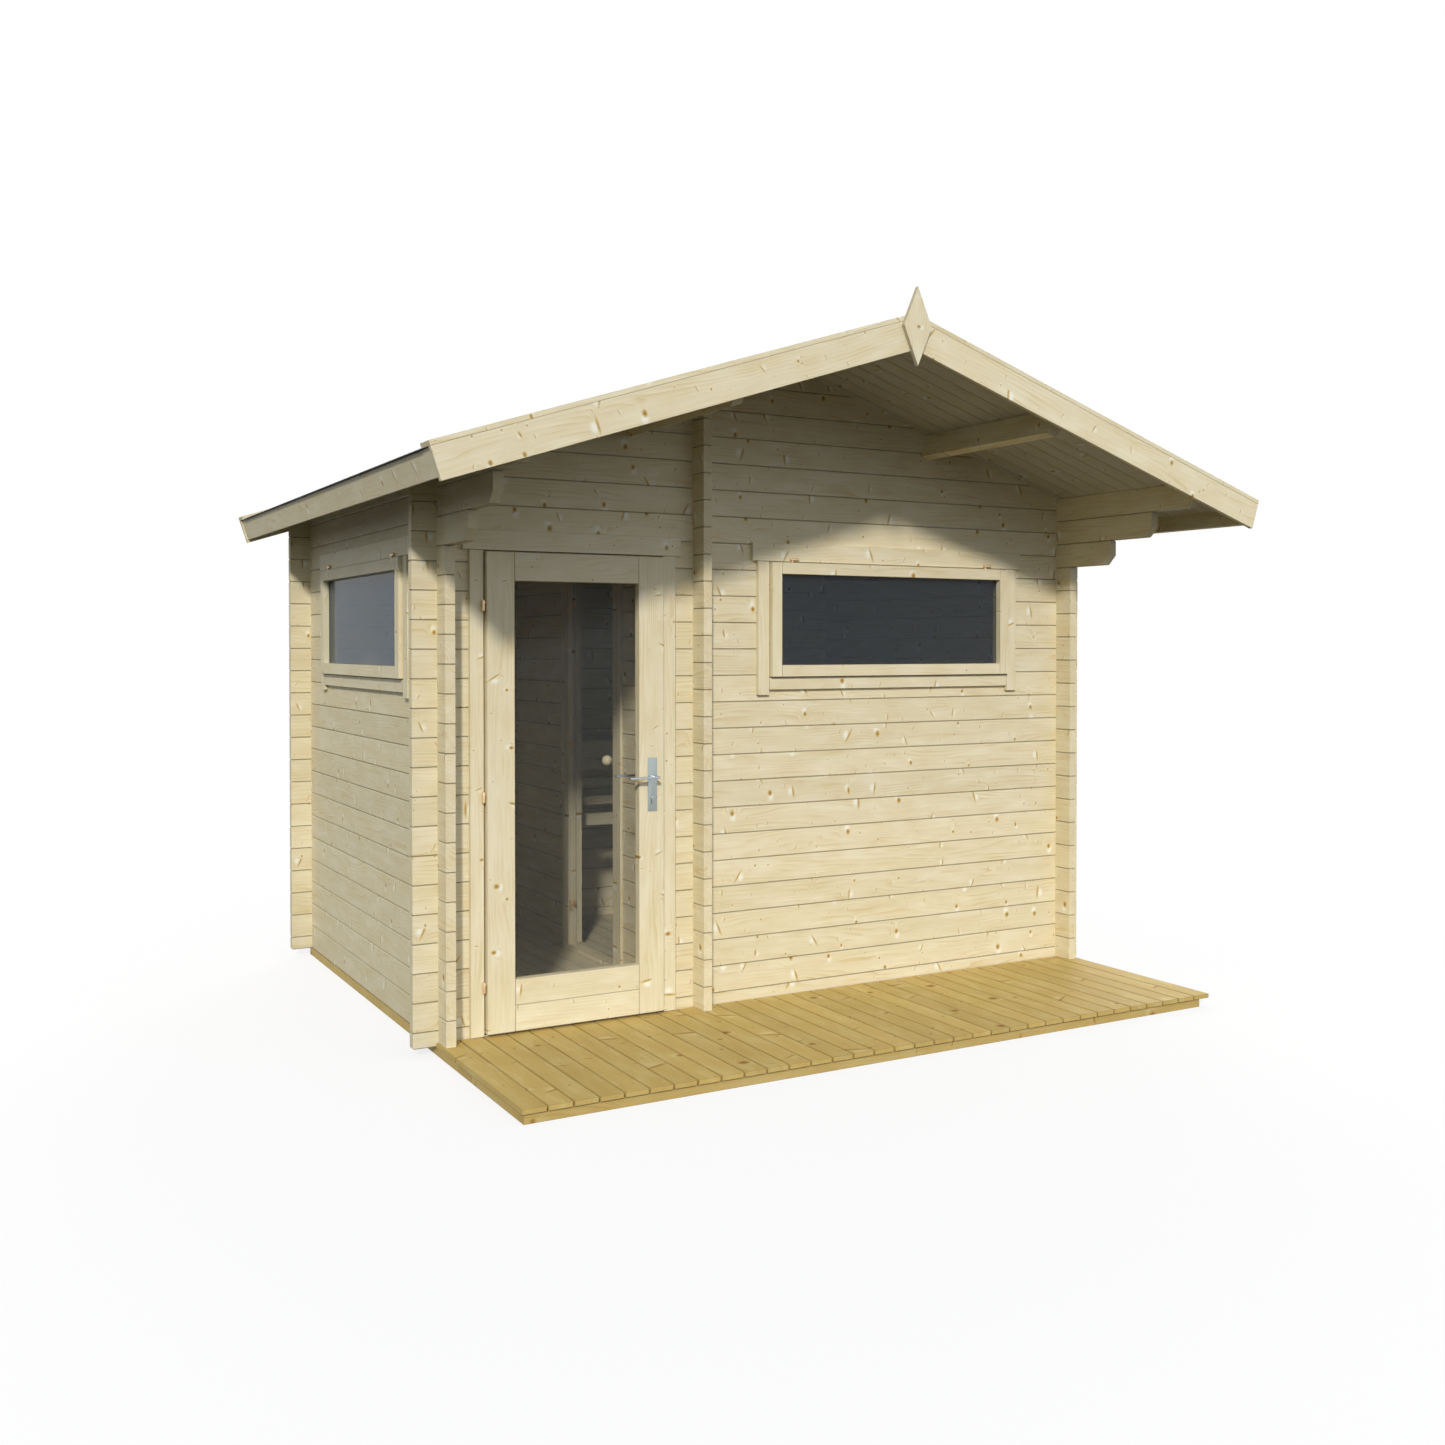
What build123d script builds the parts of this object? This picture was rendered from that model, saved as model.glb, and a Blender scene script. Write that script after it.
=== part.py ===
from build123d import *
import math
import os

# Log sauna cabin with a changing room, a sauna room and a terrace under the front roof overhang.
# Modelling frame, in millimetres: X = 0 is the ridge line, Y = 0 the outer face of the front wall,
# Z = 0 the underside of the logs. +X is to the right, +Y to the back. place() shifts the finished
# pieces so that the origin is at the bottom centre of the whole cabin.

# Logs and walls
log_height = 114.0
wall_thickness = 40.0
log_bevel = 4.0
first_log_extra = 5.0
cabin_width = 3194.0
cabin_depth = 2132.0
corner_overhang = 100.0
changing_room_width = 1078.0
side_log_count = 20
corbel_log_count = 3
front_wall_log_count = 17

# Roof
roof_pitch = 18.0
roof_board_thickness = 24.0
roof_board_width = 96.0
roof_board_groove = 3.0
felt_thickness = 3.0
front_overhang = 930.0
rear_overhang = 131.0
eave_length = 1996.0
fascia_thickness = 18.0
fascia_height = 100.0
barge_thickness = 19.0
barge_height = 117.0
barge_end_reach = 8.0
cover_strip_width = 92.0
cover_strip_thickness = 18.0
purlin_width = 50.0
purlin_height = 108.0
purlin_place = 798.0
purlin_setback = 8.0
corbel_step = 267.0
corbel_chamfer = 44.0
finial_width = 132.0
finial_height = 306.0
finial_thickness = 18.0
finial_drop = 7.0

# Ground floor and terrace
foundation_height = 40.0
foundation_beam_width = 70.0
floor_joist_width = 45.0
floor_joist_count = 3
floor_thickness = 20.0
floor_board_width = 96.0
floor_groove = 3.0
terrace_depth = 923.0
terrace_board_thickness = 20.0
terrace_board_count = 34
terrace_board_gap = 5.0
terrace_top = 16.0
terrace_left_reach = 9.0
terrace_right_reach = 25.0
terrace_joist_width = 45.0
terrace_joist_inset = 22.0
terrace_joist_setback = 10.0
terrace_gap = 3.0
log_end_gap = 1.0

# Outer door
door_centre_in_room = 576.5
door_leaf_width = 775.0
door_leaf_height = 1902.0
door_leaf_thickness = 40.0
door_leaf_bottom = 27.0
door_proud = 18.0
door_gap = 6.0
door_stile = 116.0
door_top_rail = 114.0
door_bottom_rail = 208.0
door_jamb_thickness = 33.0
door_stop_width = 20.0
door_sill_height = 20.0
casing_width = 58.0
casing_thickness = 18.0
head_casing_height = 80.0
head_casing_reach = 27.0
glass_thickness = 6.0

# Barrel hinges
hinge_radius = 7.0
hinge_height = 46.0
hinge_arm_thickness = 6.0
hinge_knuckle_gap = 0.5
hinge_side_offset = 11.0
hinge_front_offset = 9.0
door_hinge_heights = (212.0, 962.0, 1716.0)

# Outer door handle
handle_height = 1013.0
handle_edge_distance = 55.0
plate_width = 42.0
plate_height = 223.0
plate_thickness = 3.0
plate_centre_drop = 32.0
lever_length = 127.0
lever_bar_height = 9.0
lever_bar_depth = 18.0
lever_heel = 10.0
lever_bar_chamfer = 3.0
lever_standoff = 48.0
spindle_radius = 4.0
spindle_clearance = 0.5
spindle_bore_clearance = 2.0
lever_neck_radius = 9.0
cylinder_drop = 88.0
cylinder_radius = 8.5
cylinder_reach = 5.0

# Windows
window_width = 1328.0
window_height = 503.0
window_bottom = 1422.0
window_rail = 52.0
window_lap = 12.0
window_sill_board = 57.0
window_trim_foot = 80.0
window_joint_gap = 3.0
window_liner = 22.0
window_hinge_inset = 122.0
window_hinge_length = 38.0
window_hinge_radius = 6.0

# Inner glass door
inner_opening_width = 542.0
inner_opening_centre = 1056.0
inner_jamb_thickness = 45.0
inner_casing_width = 60.0
inner_casing_thickness = 16.0
inner_glass_thickness = 8.0
inner_glass_depth = 10.0
inner_door_gap = 6.0
inner_leaf_bottom = 50.0
inner_leaf_top = 1897.0
inner_sill_height = 42.0
inner_hinge_depth = -4.0
inner_hinge_offset = 8.0
inner_hinge_heights = (244.0, 1049.0, 1760.0)
inner_stop = 12.0
hinge_clamp_reach = 34.0
hinge_clamp_thickness = 3.0
knob_radius = 25.0
knob_edge_distance = 44.0
knob_height = 1012.0
knob_neck_radius = 9.0
knob_neck_length = 6.0
knob_swell_depth = 22.0
knob_rim_depth = 28.0

# Bench
bench_top = 1063.0
bench_depth = 600.0
seat_board_width = 90.0
seat_board_thickness = 28.0
seat_board_count = 5
bench_beam_height = 69.0
bench_beam_thickness = 28.0
slat_thickness = 18.0
fascia_board_height = 96.0
batten_width = 45.0
batten_inset = 59.0
batten_count = 4
bench_end_gap = 2.0
bench_front_boards = ((906.0, 964.0), (822.0, 865.0), (724.0, 771.0), (616.0, 681.0))

# Worked-out places
half_width = cabin_width / 2
half_log = log_height / 2
first_gable_log = first_log_extra + half_log
left_face = -half_width
right_face = half_width
partition_left = left_face + wall_thickness + changing_room_width
partition_right = partition_left + wall_thickness
back_inner = cabin_depth - wall_thickness
pitch = math.radians(roof_pitch)
side_wall_top = first_log_extra + side_log_count * log_height
ridge_underside = side_wall_top + (half_width - wall_thickness) * math.tan(pitch)
ridge_log_count = math.ceil(ridge_underside / log_height)
roof_depth_back = cabin_depth + rear_overhang
corbel_bottom = first_log_extra + (side_log_count - corbel_log_count) * log_height
front_reach = front_overhang + finial_thickness
centre_y = (roof_depth_back - front_reach) / 2

door_left = left_face + door_centre_in_room - door_leaf_width / 2
door_right = door_left + door_leaf_width
door_top = door_leaf_bottom + door_leaf_height
door_front = -casing_thickness - door_proud
door_back = door_front + door_leaf_thickness
door_opening_left = door_left - door_gap - door_jamb_thickness
door_opening_right = door_right + door_gap + door_jamb_thickness
door_hinge_x = door_left - hinge_side_offset
door_hinge_y = door_front + hinge_front_offset
handle_x = door_right - handle_edge_distance

inner_near = inner_opening_centre - inner_opening_width / 2
inner_far = inner_opening_centre + inner_opening_width / 2
inner_cut_near = inner_near - inner_jamb_thickness
inner_cut_far = inner_far + inner_jamb_thickness
inner_hinge_x = partition_left + inner_hinge_depth
inner_hinge_y = inner_far - inner_hinge_offset
inner_glass_front = partition_left + inner_glass_depth
inner_glass_back = inner_glass_front + inner_glass_thickness

# Which courses the pieces of a wall end at: the gable walls start with a half log, course 0
door_head_top = door_top + door_gap + door_jamb_thickness
window_opening_bottom = window_bottom + window_lap
front_wall_courses = 1 + front_wall_log_count
front_window_course = 1 + math.floor((window_opening_bottom - first_gable_log) / log_height)
side_window_course = math.floor((window_opening_bottom - first_log_extra) / log_height)
gable_course_end = 1 + math.ceil((ridge_underside - first_gable_log) / log_height)


def block(x0, x1, y0, y1, z0, z1):
    """A box given by its lowest and highest corners."""
    box = Box(x1 - x0, y1 - y0, z1 - z0, align=(Align.MIN, Align.MIN, Align.MIN))
    return Pos(x0, y0, z0) * box


def place(shape):
    """Shift a piece from the modelling frame to the cabin's own frame."""
    return Pos(0, -centre_y, foundation_height) * shape


def save(name, *solids):
    """Write one node, made of one solid or of several that don't touch."""
    bodies = [solid for shape in solids for solid in shape.solids()]
    export_step(place(Compound(children=bodies)), os.path.join("parts", name + ".step"))


def join(shapes):
    """Fuse touching shapes to one."""
    first, *rest = shapes
    return first.fuse(*rest) if rest else first


def log(x0, x1, y0, y1, z0, z1):
    """One machined log with bevelled edges along its top and bottom."""
    body = block(x0, x1, y0, y1, z0, z1)
    rims = body.faces().sort_by(Axis.Z)
    return chamfer(rims[0].edges() + rims[-1].edges(), log_bevel)


def gable_joint(course):
    """Height of the underside of a log of the front and back walls."""
    return first_gable_log + (course - 1) * log_height if course else 0.0


def gable_courses(first, last):
    """Heights of the front and back walls' logs, from course first up to course last."""
    return [(gable_joint(k), gable_joint(k + 1)) for k in range(first, last)]


def side_courses(first, last):
    """Heights of side logs number first to last, where log 0 is the lowest."""
    return [
        (first_log_extra + k * log_height if k else 0.0, first_log_extra + (k + 1) * log_height)
        for k in range(first, last)
    ]


def side_slices(x0, x1, y0, y1):
    """The parts of a corner column that belong to the side walls' logs."""
    quarter = log_height / 4
    return [
        block(x0, x1, y0, y1, first_log_extra + k * log_height + quarter,
              first_log_extra + (k + 1) * log_height - quarter)
        for k in range(ridge_log_count)
    ]


def gable_slices(x0, x1, y0, y1):
    """The parts of a corner column that belong to the front and back walls' logs."""
    quarter = log_height / 4
    return [block(x0, x1, y0, y1, 0, first_log_extra + quarter)] + [
        block(x0, x1, y0, y1, first_log_extra + (k + 1) * log_height - quarter,
              first_log_extra + (k + 1) * log_height + quarter)
        for k in range(ridge_log_count)
    ]


side_columns = ((left_face, left_face + wall_thickness), (partition_left, partition_right),
                (right_face - wall_thickness, right_face))
gable_columns = ((0, wall_thickness), (back_inner, cabin_depth))


def under_roof(y0, y1):
    """The space below the roof boards, as a long prism."""
    reach = half_width + corner_overhang + rear_overhang
    drop = reach * math.tan(pitch)
    outline = Polyline((-reach, 0), (reach, 0), (reach, ridge_underside - drop),
                       (0, ridge_underside), (-reach, ridge_underside - drop), close=True)
    section = Plane.XZ * make_face(outline)
    return Pos(0, y1, 0) * extrude(section, y1 - y0)


def on_slope(side, s0, s1, y0, y1, n0, n1):
    """A box on a roof slope: s runs down from the ridge, n up from the boards' underside."""
    body = block(s0, s1, y0, y1, n0, n1)
    tilt = Pos(0, 0, ridge_underside) * Rot(0, roof_pitch, 0) * body
    return tilt if side > 0 else mirror(tilt, about=Plane.YZ)


def ridge_trim(side):
    """The half space on one side of the ridge, where a slope's boards meet the other slope's."""
    reach = 2 * half_width
    inner, outer = (0, reach) if side > 0 else (-reach, 0)
    return block(inner, outer, -reach, 2 * reach, 0, 2 * reach)


def purlin(side):
    """A purlin set square to the slope, with its lower front corner cut off."""
    y0 = -front_overhang + barge_thickness + purlin_setback
    y1 = roof_depth_back - barge_thickness - purlin_setback
    body = on_slope(side, purlin_place, purlin_place + purlin_width, y0, y1, -purlin_height, 0)
    tip = [e for e in body.edges().filter_by(GeomType.LINE)
           if abs(e.center().Y - y0) < 1 and abs(e.length - purlin_width) < 1]
    return chamfer(sorted(tip, key=lambda e: e.center().Z)[0], corbel_chamfer)


def gable_wall_logs(y0, y1, first, last, x0, x1):
    """Logs of the front or back wall, fused to one wall piece."""
    return join([log(x0, x1, y0, y1, a, b) for a, b in gable_courses(first, last)])


def cut_columns(wall, y0, y1):
    """Notch a front or back wall where the side walls and the partition cross it."""
    slices = [piece for x0, x1 in side_columns for piece in side_slices(x0, x1, y0, y1)]
    return wall.cut(*slices)


def door_opening():
    """The space that the outer door's frame needs in the front wall."""
    return block(door_opening_left, door_opening_right, 0, wall_thickness, 0, door_head_top)


def build_front_wall():
    x_left = left_face - corner_overhang
    x_right = right_face + corner_overhang
    band_first, band_last = front_window_course, front_wall_courses
    left_part = gable_wall_logs(0, wall_thickness, 0, band_last, x_left, door_opening_left)
    lower = gable_wall_logs(0, wall_thickness, 0, band_first, door_opening_right, x_right)
    band = gable_wall_logs(0, wall_thickness, band_first, band_last, door_opening_right, x_right)
    save("front_wall_left", cut_columns(left_part, 0, wall_thickness))
    save("front_wall_lower_logs", cut_columns(lower, 0, wall_thickness).cut(front_window.hole()))
    save("front_wall_window_logs", cut_columns(band, 0, wall_thickness).cut(front_window.hole()))


def build_gable(name, y0, y1, openings):
    logs = gable_wall_logs(y0, y1, front_wall_courses, gable_course_end,
                           left_face - corner_overhang, right_face + corner_overhang)
    body = cut_columns(logs & under_roof(y0, y1), y0, y1)
    save(name, body.cut(purlin(1), purlin(-1), *openings))


def build_back_wall():
    wall = gable_wall_logs(back_inner, cabin_depth, 0, front_wall_courses,
                           left_face - corner_overhang, right_face + corner_overhang)
    save("back_wall", cut_columns(wall, back_inner, cabin_depth))


def side_wall_logs(x0, x1, first, last):
    """Side wall logs from corner overhang to corner overhang, front ends cut clear of the deck."""
    logs = join([log(x0, x1, -corner_overhang, cabin_depth + corner_overhang, a, b)
                 for a, b in side_courses(first, last)])
    slices = [piece for y0, y1 in gable_columns for piece in gable_slices(x0, x1, y0, y1)]
    deck_space = block(x0, x1, -corner_overhang, 0, 0, terrace_top + log_end_gap)
    return logs.cut(deck_space, *slices)


def build_side_walls():
    regular = side_log_count - corbel_log_count
    inner = left_face + wall_thickness
    band = side_wall_logs(left_face, inner, side_window_course, regular)
    lower = side_wall_logs(left_face, inner, 0, side_window_course)
    save("left_wall_lower_logs", lower.cut(side_window.hole()))
    save("left_wall_window_logs", band.cut(side_window.hole()))
    save("right_wall", side_wall_logs(right_face - wall_thickness, right_face, 0, regular))


def eave_logs(x0, x1):
    """The three top logs of a side wall, stepping out to the front to carry the roof."""
    logs = []
    for step, (a, b) in enumerate(side_courses(side_log_count - corbel_log_count, side_log_count)):
        tip = -corner_overhang - (step + 1) * corbel_step
        is_top = step == corbel_log_count - 1
        tail = roof_depth_back - barge_thickness - purlin_setback if is_top else (
            cabin_depth + corner_overhang)
        if is_top:
            tip = -front_overhang + barge_thickness + purlin_setback
        body = log(x0, x1, tip, tail, a, b)
        corner = Polyline((tip, a), (tip + corbel_chamfer, a), (tip, a + corbel_chamfer), close=True)
        wedge = Pos(x1, 0, 0) * extrude(Plane.YZ * make_face(corner), -(x1 - x0))
        logs.append(body.cut(wedge))
    slices = [piece for y0, y1 in gable_columns for piece in gable_slices(x0, x1, y0, y1)]
    front, back = -front_overhang, roof_depth_back
    return (join(logs) & under_roof(front, back)).cut(*slices)


def build_partition():
    x0, x1 = partition_left, partition_right
    door_log = side_log_count - corbel_log_count
    lower = side_wall_logs(x0, x1, 0, door_log)
    upper = side_wall_logs(x0, x1, door_log, ridge_log_count)
    y_end = cabin_depth + corner_overhang
    save("partition_front", lower & block(x0, x1, -corner_overhang, inner_cut_near, 0, corbel_bottom))
    save("partition_rear", lower & block(x0, x1, inner_cut_far, y_end, 0, corbel_bottom))
    save("partition_head", upper & under_roof(-corner_overhang, y_end))


def build_roof():
    boards_y0 = -front_overhang + barge_thickness
    boards_y1 = roof_depth_back - barge_thickness
    board_end = eave_length - fascia_thickness
    for side, word in ((-1, "left"), (1, "right")):
        deck = on_slope(side, -half_log, board_end, boards_y0, boards_y1, 0, roof_board_thickness)
        count = int((boards_y1 - boards_y0) / roof_board_width)
        grooves = [
            on_slope(side, -half_log, board_end, boards_y0 + k * roof_board_width,
                     boards_y0 + k * roof_board_width + roof_board_groove, 0, roof_board_groove)
            for k in range(1, count + 1)
        ]
        save("roof_boards_" + word, (deck & ridge_trim(side)).cut(*grooves))
        felt = on_slope(side, -half_log, eave_length, boards_y0, boards_y1, roof_board_thickness,
                        roof_board_thickness + felt_thickness)
        save("roof_felt_" + word, felt & ridge_trim(side))
    fascias = [
        on_slope(side, board_end, eave_length, boards_y0, boards_y1,
                 roof_board_thickness - fascia_height, roof_board_thickness)
        for side in (-1, 1)
    ]
    save("eave_fascias", *fascias)
    save("purlins", purlin(-1), purlin(1))


def barge_pair(y0, y1, n0, n1):
    """Two boards along the gable's slopes, mitred at the ridge."""
    boards = [on_slope(side, -barge_height, eave_length + barge_end_reach, y0, y1, n0, n1)
              & ridge_trim(side) for side in (-1, 1)]
    return join(boards)


def build_barges():
    top = roof_board_thickness + felt_thickness
    low = top - barge_height
    cover_top = top + cover_strip_thickness
    front, back = -front_overhang, roof_depth_back
    save("front_barge_boards", barge_pair(front, front + barge_thickness, low, top))
    save("rear_barge_boards", barge_pair(back - barge_thickness, back, low, top))
    save("front_cover_strips", barge_pair(front, front + cover_strip_width, top, cover_top))
    save("rear_cover_strips", barge_pair(back - cover_strip_width, back, top, cover_top))
    centre = ridge_underside - finial_drop
    diamond = Polyline((0, centre + finial_height / 2), (finial_width / 2, centre),
                       (0, centre - finial_height / 2), (-finial_width / 2, centre), close=True)
    save("finial", Pos(0, front, 0) * extrude(Plane.XZ * make_face(diamond), finial_thickness))


def build_floor():
    z0 = -foundation_height
    w = foundation_beam_width
    outer = block(left_face, right_face, 0, cabin_depth, z0, 0)
    inner = block(left_face + w, right_face - w, w, cabin_depth - w, z0, 0)
    spread = (w - wall_thickness) / 2
    under_partition = block(partition_left - spread, partition_right + spread, w, cabin_depth - w, z0, 0)
    span = cabin_depth - 2 * w
    joists = [
        block(left_face + w, right_face - w, w + k * span / (floor_joist_count + 1) - floor_joist_width / 2,
              w + k * span / (floor_joist_count + 1) + floor_joist_width / 2, z0, 0)
        for k in range(1, floor_joist_count + 1)
    ]
    save("foundation_beams", join([outer.cut(inner), under_partition, *joists]))
    rooms = ((left_face + wall_thickness, partition_left), (partition_right, right_face - wall_thickness))
    floors = []
    for x0, x1 in rooms:
        floor = block(x0, x1, wall_thickness, back_inner, 0, floor_thickness)
        count = int((x1 - x0) / floor_board_width)
        grooves = [
            block(x0 + k * floor_board_width, x0 + k * floor_board_width + floor_groove,
                  wall_thickness, back_inner, floor_thickness - floor_groove, floor_thickness)
            for k in range(1, count + 1)
        ]
        floors.append(floor.cut(*grooves))
    save("floor_boards", *floors)


def build_terrace():
    x0 = left_face - terrace_left_reach
    x1 = right_face + terrace_right_reach
    width = (x1 - x0 + terrace_board_gap) / terrace_board_count
    top = terrace_top
    under = top - terrace_board_thickness
    boards = [
        block(x0 + k * width, x0 + (k + 1) * width - terrace_board_gap,
              -terrace_depth, -terrace_gap, under, top)
        for k in range(terrace_board_count)
    ]
    save("terrace_deck", *boards)
    w = terrace_joist_width
    z0 = -foundation_height
    right_end = right_face - terrace_joist_inset
    front = -terrace_depth + terrace_joist_setback
    frame = [
        block(left_face, left_face + w, front, 0, z0, under),
        block(right_end - w, right_end, front, 0, z0, under),
        block(left_face, right_end, front, front + w, z0, under),
        block(left_face, right_end, front / 2 - w / 2, front / 2 + w / 2, z0, under),
        block(left_face, right_end, -w, 0, z0, under),
    ]
    save("terrace_frame", join(frame))


def frame_ring(x0, x1, z0, z1, y0, y1, side, head, sill):
    """A rectangular frame standing in the XZ plane."""
    ring = block(x0, x1, y0, y1, z0, z1)
    return ring.cut(block(x0 + side, x1 - side, y0, y1, z0 + sill, z1 - head))


def build_door():
    gap = door_gap
    jamb = door_jamb_thickness
    x0, x1 = door_opening_left, door_opening_right
    head_low = door_top + gap
    body = frame_ring(x0, x1, 0, head_low + jamb, 0, wall_thickness, jamb, jamb, door_sill_height)
    stop_front = door_back + gap
    stops = frame_ring(x0 + jamb, x1 - jamb, door_sill_height, head_low, stop_front, wall_thickness,
                       door_stop_width, door_stop_width, door_stop_width)
    lap = casing_width
    left_casing = block(door_left - gap - lap, door_left - gap, -casing_thickness, 0,
                        terrace_top + log_end_gap, head_low)
    right_casing = block(door_right + gap, door_right + gap + lap, -casing_thickness, 0,
                         terrace_top + log_end_gap, head_low)
    head_casing = block(door_left - gap - lap - head_casing_reach,
                        door_right + gap + lap + head_casing_reach,
                        -casing_thickness, 0, head_low, head_low + head_casing_height)
    save("door_frame", join([body, stops, left_casing, right_casing, head_casing]))

    leaf = block(door_left, door_right, door_front, door_back, door_leaf_bottom, door_top)
    light = block(door_left + door_stile, door_right - door_stile, door_front, door_back,
                  door_leaf_bottom + door_bottom_rail, door_top - door_top_rail)
    bore = Pos(handle_x, door_back, handle_height) * Rot(90, 0, 0) * Cylinder(
        spindle_radius + spindle_bore_clearance, door_leaf_thickness,
        align=(Align.CENTER, Align.CENTER, Align.MIN))
    save("door_leaf", leaf.cut(light, bore))
    middle = (door_front + door_back) / 2
    save("door_glass", block(door_left + door_stile, door_right - door_stile,
                             middle - glass_thickness / 2, middle + glass_thickness / 2,
                             door_leaf_bottom + door_bottom_rail, door_top - door_top_rail))
    build_door_hinges()
    build_handle()


def upright(x, y, z0, z1, radius):
    """A vertical cylinder."""
    body = Cylinder(radius, z1 - z0, align=(Align.CENTER, Align.CENTER, Align.MIN))
    return Pos(x, y, z0) * body


def rod_x(x0, x1, y, z, radius):
    """A cylinder along X."""
    body = Cylinder(radius, x1 - x0, align=(Align.CENTER, Align.CENTER, Align.MIN))
    return Pos(x0, y, z) * Rot(0, 90, 0) * body


def rod_y(x, y0, y1, z, radius):
    """A cylinder along Y."""
    body = Cylinder(radius, y1 - y0, align=(Align.CENTER, Align.CENTER, Align.MIN))
    return Pos(x, y1, z) * Rot(90, 0, 0) * body


def build_door_hinges():
    half = hinge_height / 2
    arm = hinge_arm_thickness / 2
    x, y = door_hinge_x, door_hinge_y
    fixed = []
    moving = []
    for z in door_hinge_heights:
        low_z, high_z = z - half / 2, z + half / 2
        low = upright(x, y, z - half, z - hinge_knuckle_gap / 2, hinge_radius)
        low_arm = block(x - arm, x + arm, y, -casing_thickness, low_z - arm, low_z + arm)
        high = upright(x, y, z + hinge_knuckle_gap / 2, z + half, hinge_radius)
        high_arm = block(x, door_left, y - arm, y + arm, high_z - arm, high_z + arm)
        fixed.append(join([low, low_arm]))
        moving.append(join([high, high_arm]))
    save("door_hinge_lower_knuckles", *fixed)
    save("door_hinge_upper_knuckles", *moving)


def build_handle():
    x = handle_x
    z = handle_height
    plate_z = z - plate_centre_drop
    plates = []
    for face, outward in ((door_front, -1), (door_back, 1)):
        y0, y1 = sorted((face, face + outward * plate_thickness))
        plate = block(x - plate_width / 2, x + plate_width / 2, y0, y1,
                      plate_z - plate_height / 2, plate_z + plate_height / 2)
        hole = rod_y(x, y0, y1, z, lever_neck_radius + spindle_clearance)
        knob_y = sorted((face, face + outward * (plate_thickness + cylinder_reach)))
        lock = rod_y(x, knob_y[0], knob_y[1], z - cylinder_drop, cylinder_radius)
        plates.append(join([plate.cut(hole), lock]))
    save("door_handle_plates", *plates)
    levers = []
    for face, outward in ((door_front, -1), (door_back, 1)):
        bar_y = face + outward * lever_standoff
        neck_y = sorted((face + outward * spindle_clearance, bar_y))
        neck = rod_y(x, neck_y[0], neck_y[1], z, lever_neck_radius)
        bar = block(x - lever_length, x + lever_heel, bar_y - lever_bar_depth / 2,
                    bar_y + lever_bar_depth / 2, z - lever_bar_height / 2, z + lever_bar_height / 2)
        ends = bar.edges().filter_by(Axis.Z)
        levers.append(join([neck, chamfer(ends, lever_bar_chamfer)]))
    spindle = rod_y(x, door_front - lever_standoff / 2, door_back + lever_standoff / 2, z, spindle_radius)
    save("door_lever", join([*levers, spindle]))


class Window:
    """A top-hung window in a frame, with casing boards outside, built along a wall's face.

    Local axes: x along the wall, y into the cabin with 0 at the wall's outer face, z up.
    """

    def __init__(self, centre, turn, origin):
        self.left = centre - window_width / 2
        self.right = centre + window_width / 2
        self.top = window_bottom + window_height
        self.turn = turn
        self.origin = origin

    def put(self, shape):
        return Pos(*self.origin) * Rot(0, 0, self.turn) * shape

    def hole(self):
        lap = window_lap
        return self.put(block(self.left + lap, self.right - lap, 0, wall_thickness,
                              window_bottom + lap, self.top - lap))

    def surround(self):
        lap = window_lap
        liner = frame_ring(self.left + lap, self.right - lap, window_bottom + lap, self.top - lap,
                           0, wall_thickness, window_liner, window_liner, window_liner)
        inner = self.left - window_joint_gap
        outer = self.right + window_joint_gap
        foot = window_bottom - window_trim_foot
        head_low = self.top + window_joint_gap
        boards = [
            block(inner - casing_width, inner, -casing_thickness, 0, foot, head_low),
            block(outer, outer + casing_width, -casing_thickness, 0, foot, head_low),
            block(inner, outer, -casing_thickness, 0, window_bottom - window_sill_board,
                  window_bottom - window_joint_gap),
            block(inner - casing_width - head_casing_reach, outer + casing_width + head_casing_reach,
                  -casing_thickness, 0, head_low, head_low + head_casing_height),
        ]
        return self.put(join(boards)), self.put(liner)

    def sash(self):
        front = -casing_thickness - door_proud
        cover = frame_ring(self.left, self.right, window_bottom, self.top, front, 0,
                           window_rail, window_rail, window_rail)
        return self.put(cover)

    def glass(self):
        middle = -casing_thickness
        return self.put(block(self.left + window_rail, self.right - window_rail,
                              middle - glass_thickness / 2, middle + glass_thickness / 2,
                              window_bottom + window_rail, self.top - window_rail))

    def hinges(self):
        barrels = []
        z = self.top + window_joint_gap + window_hinge_radius
        y = -casing_thickness - window_hinge_radius
        for x in (self.left + window_hinge_inset, self.right - window_hinge_inset):
            half = window_hinge_length / 2
            barrels.append(self.put(rod_x(x - half, x + half, y, z, window_hinge_radius)))
        return barrels


sauna_centre = (partition_right + right_face - wall_thickness) / 2
front_window = Window(sauna_centre, 0, (0, 0, 0))
side_window = Window(-cabin_depth / 2, -90, (left_face, 0, 0))


def build_windows():
    for name, window in (("front_window", front_window), ("side_window", side_window)):
        boards, liner = window.surround()
        save(name + "_casing", boards)
        save(name + "_frame", liner)
        save(name + "_sash", window.sash())
        save(name + "_glass", window.glass())
    save("window_hinges", *front_window.hinges(), *side_window.hinges())


def turned_knob():
    """A turned wooden knob on its neck, standing on Z = 0, which swells to its rim."""
    neck, rim = knob_neck_radius, knob_radius
    swell = knob_neck_length + knob_swell_depth
    top = swell + knob_rim_depth
    outline = Polyline((0, 0), (neck, 0), (neck, knob_neck_length), (rim, swell), (rim, top),
                       (0, top), close=True)
    return revolve(Plane.XZ * make_face(outline), Axis.Z)


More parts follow.
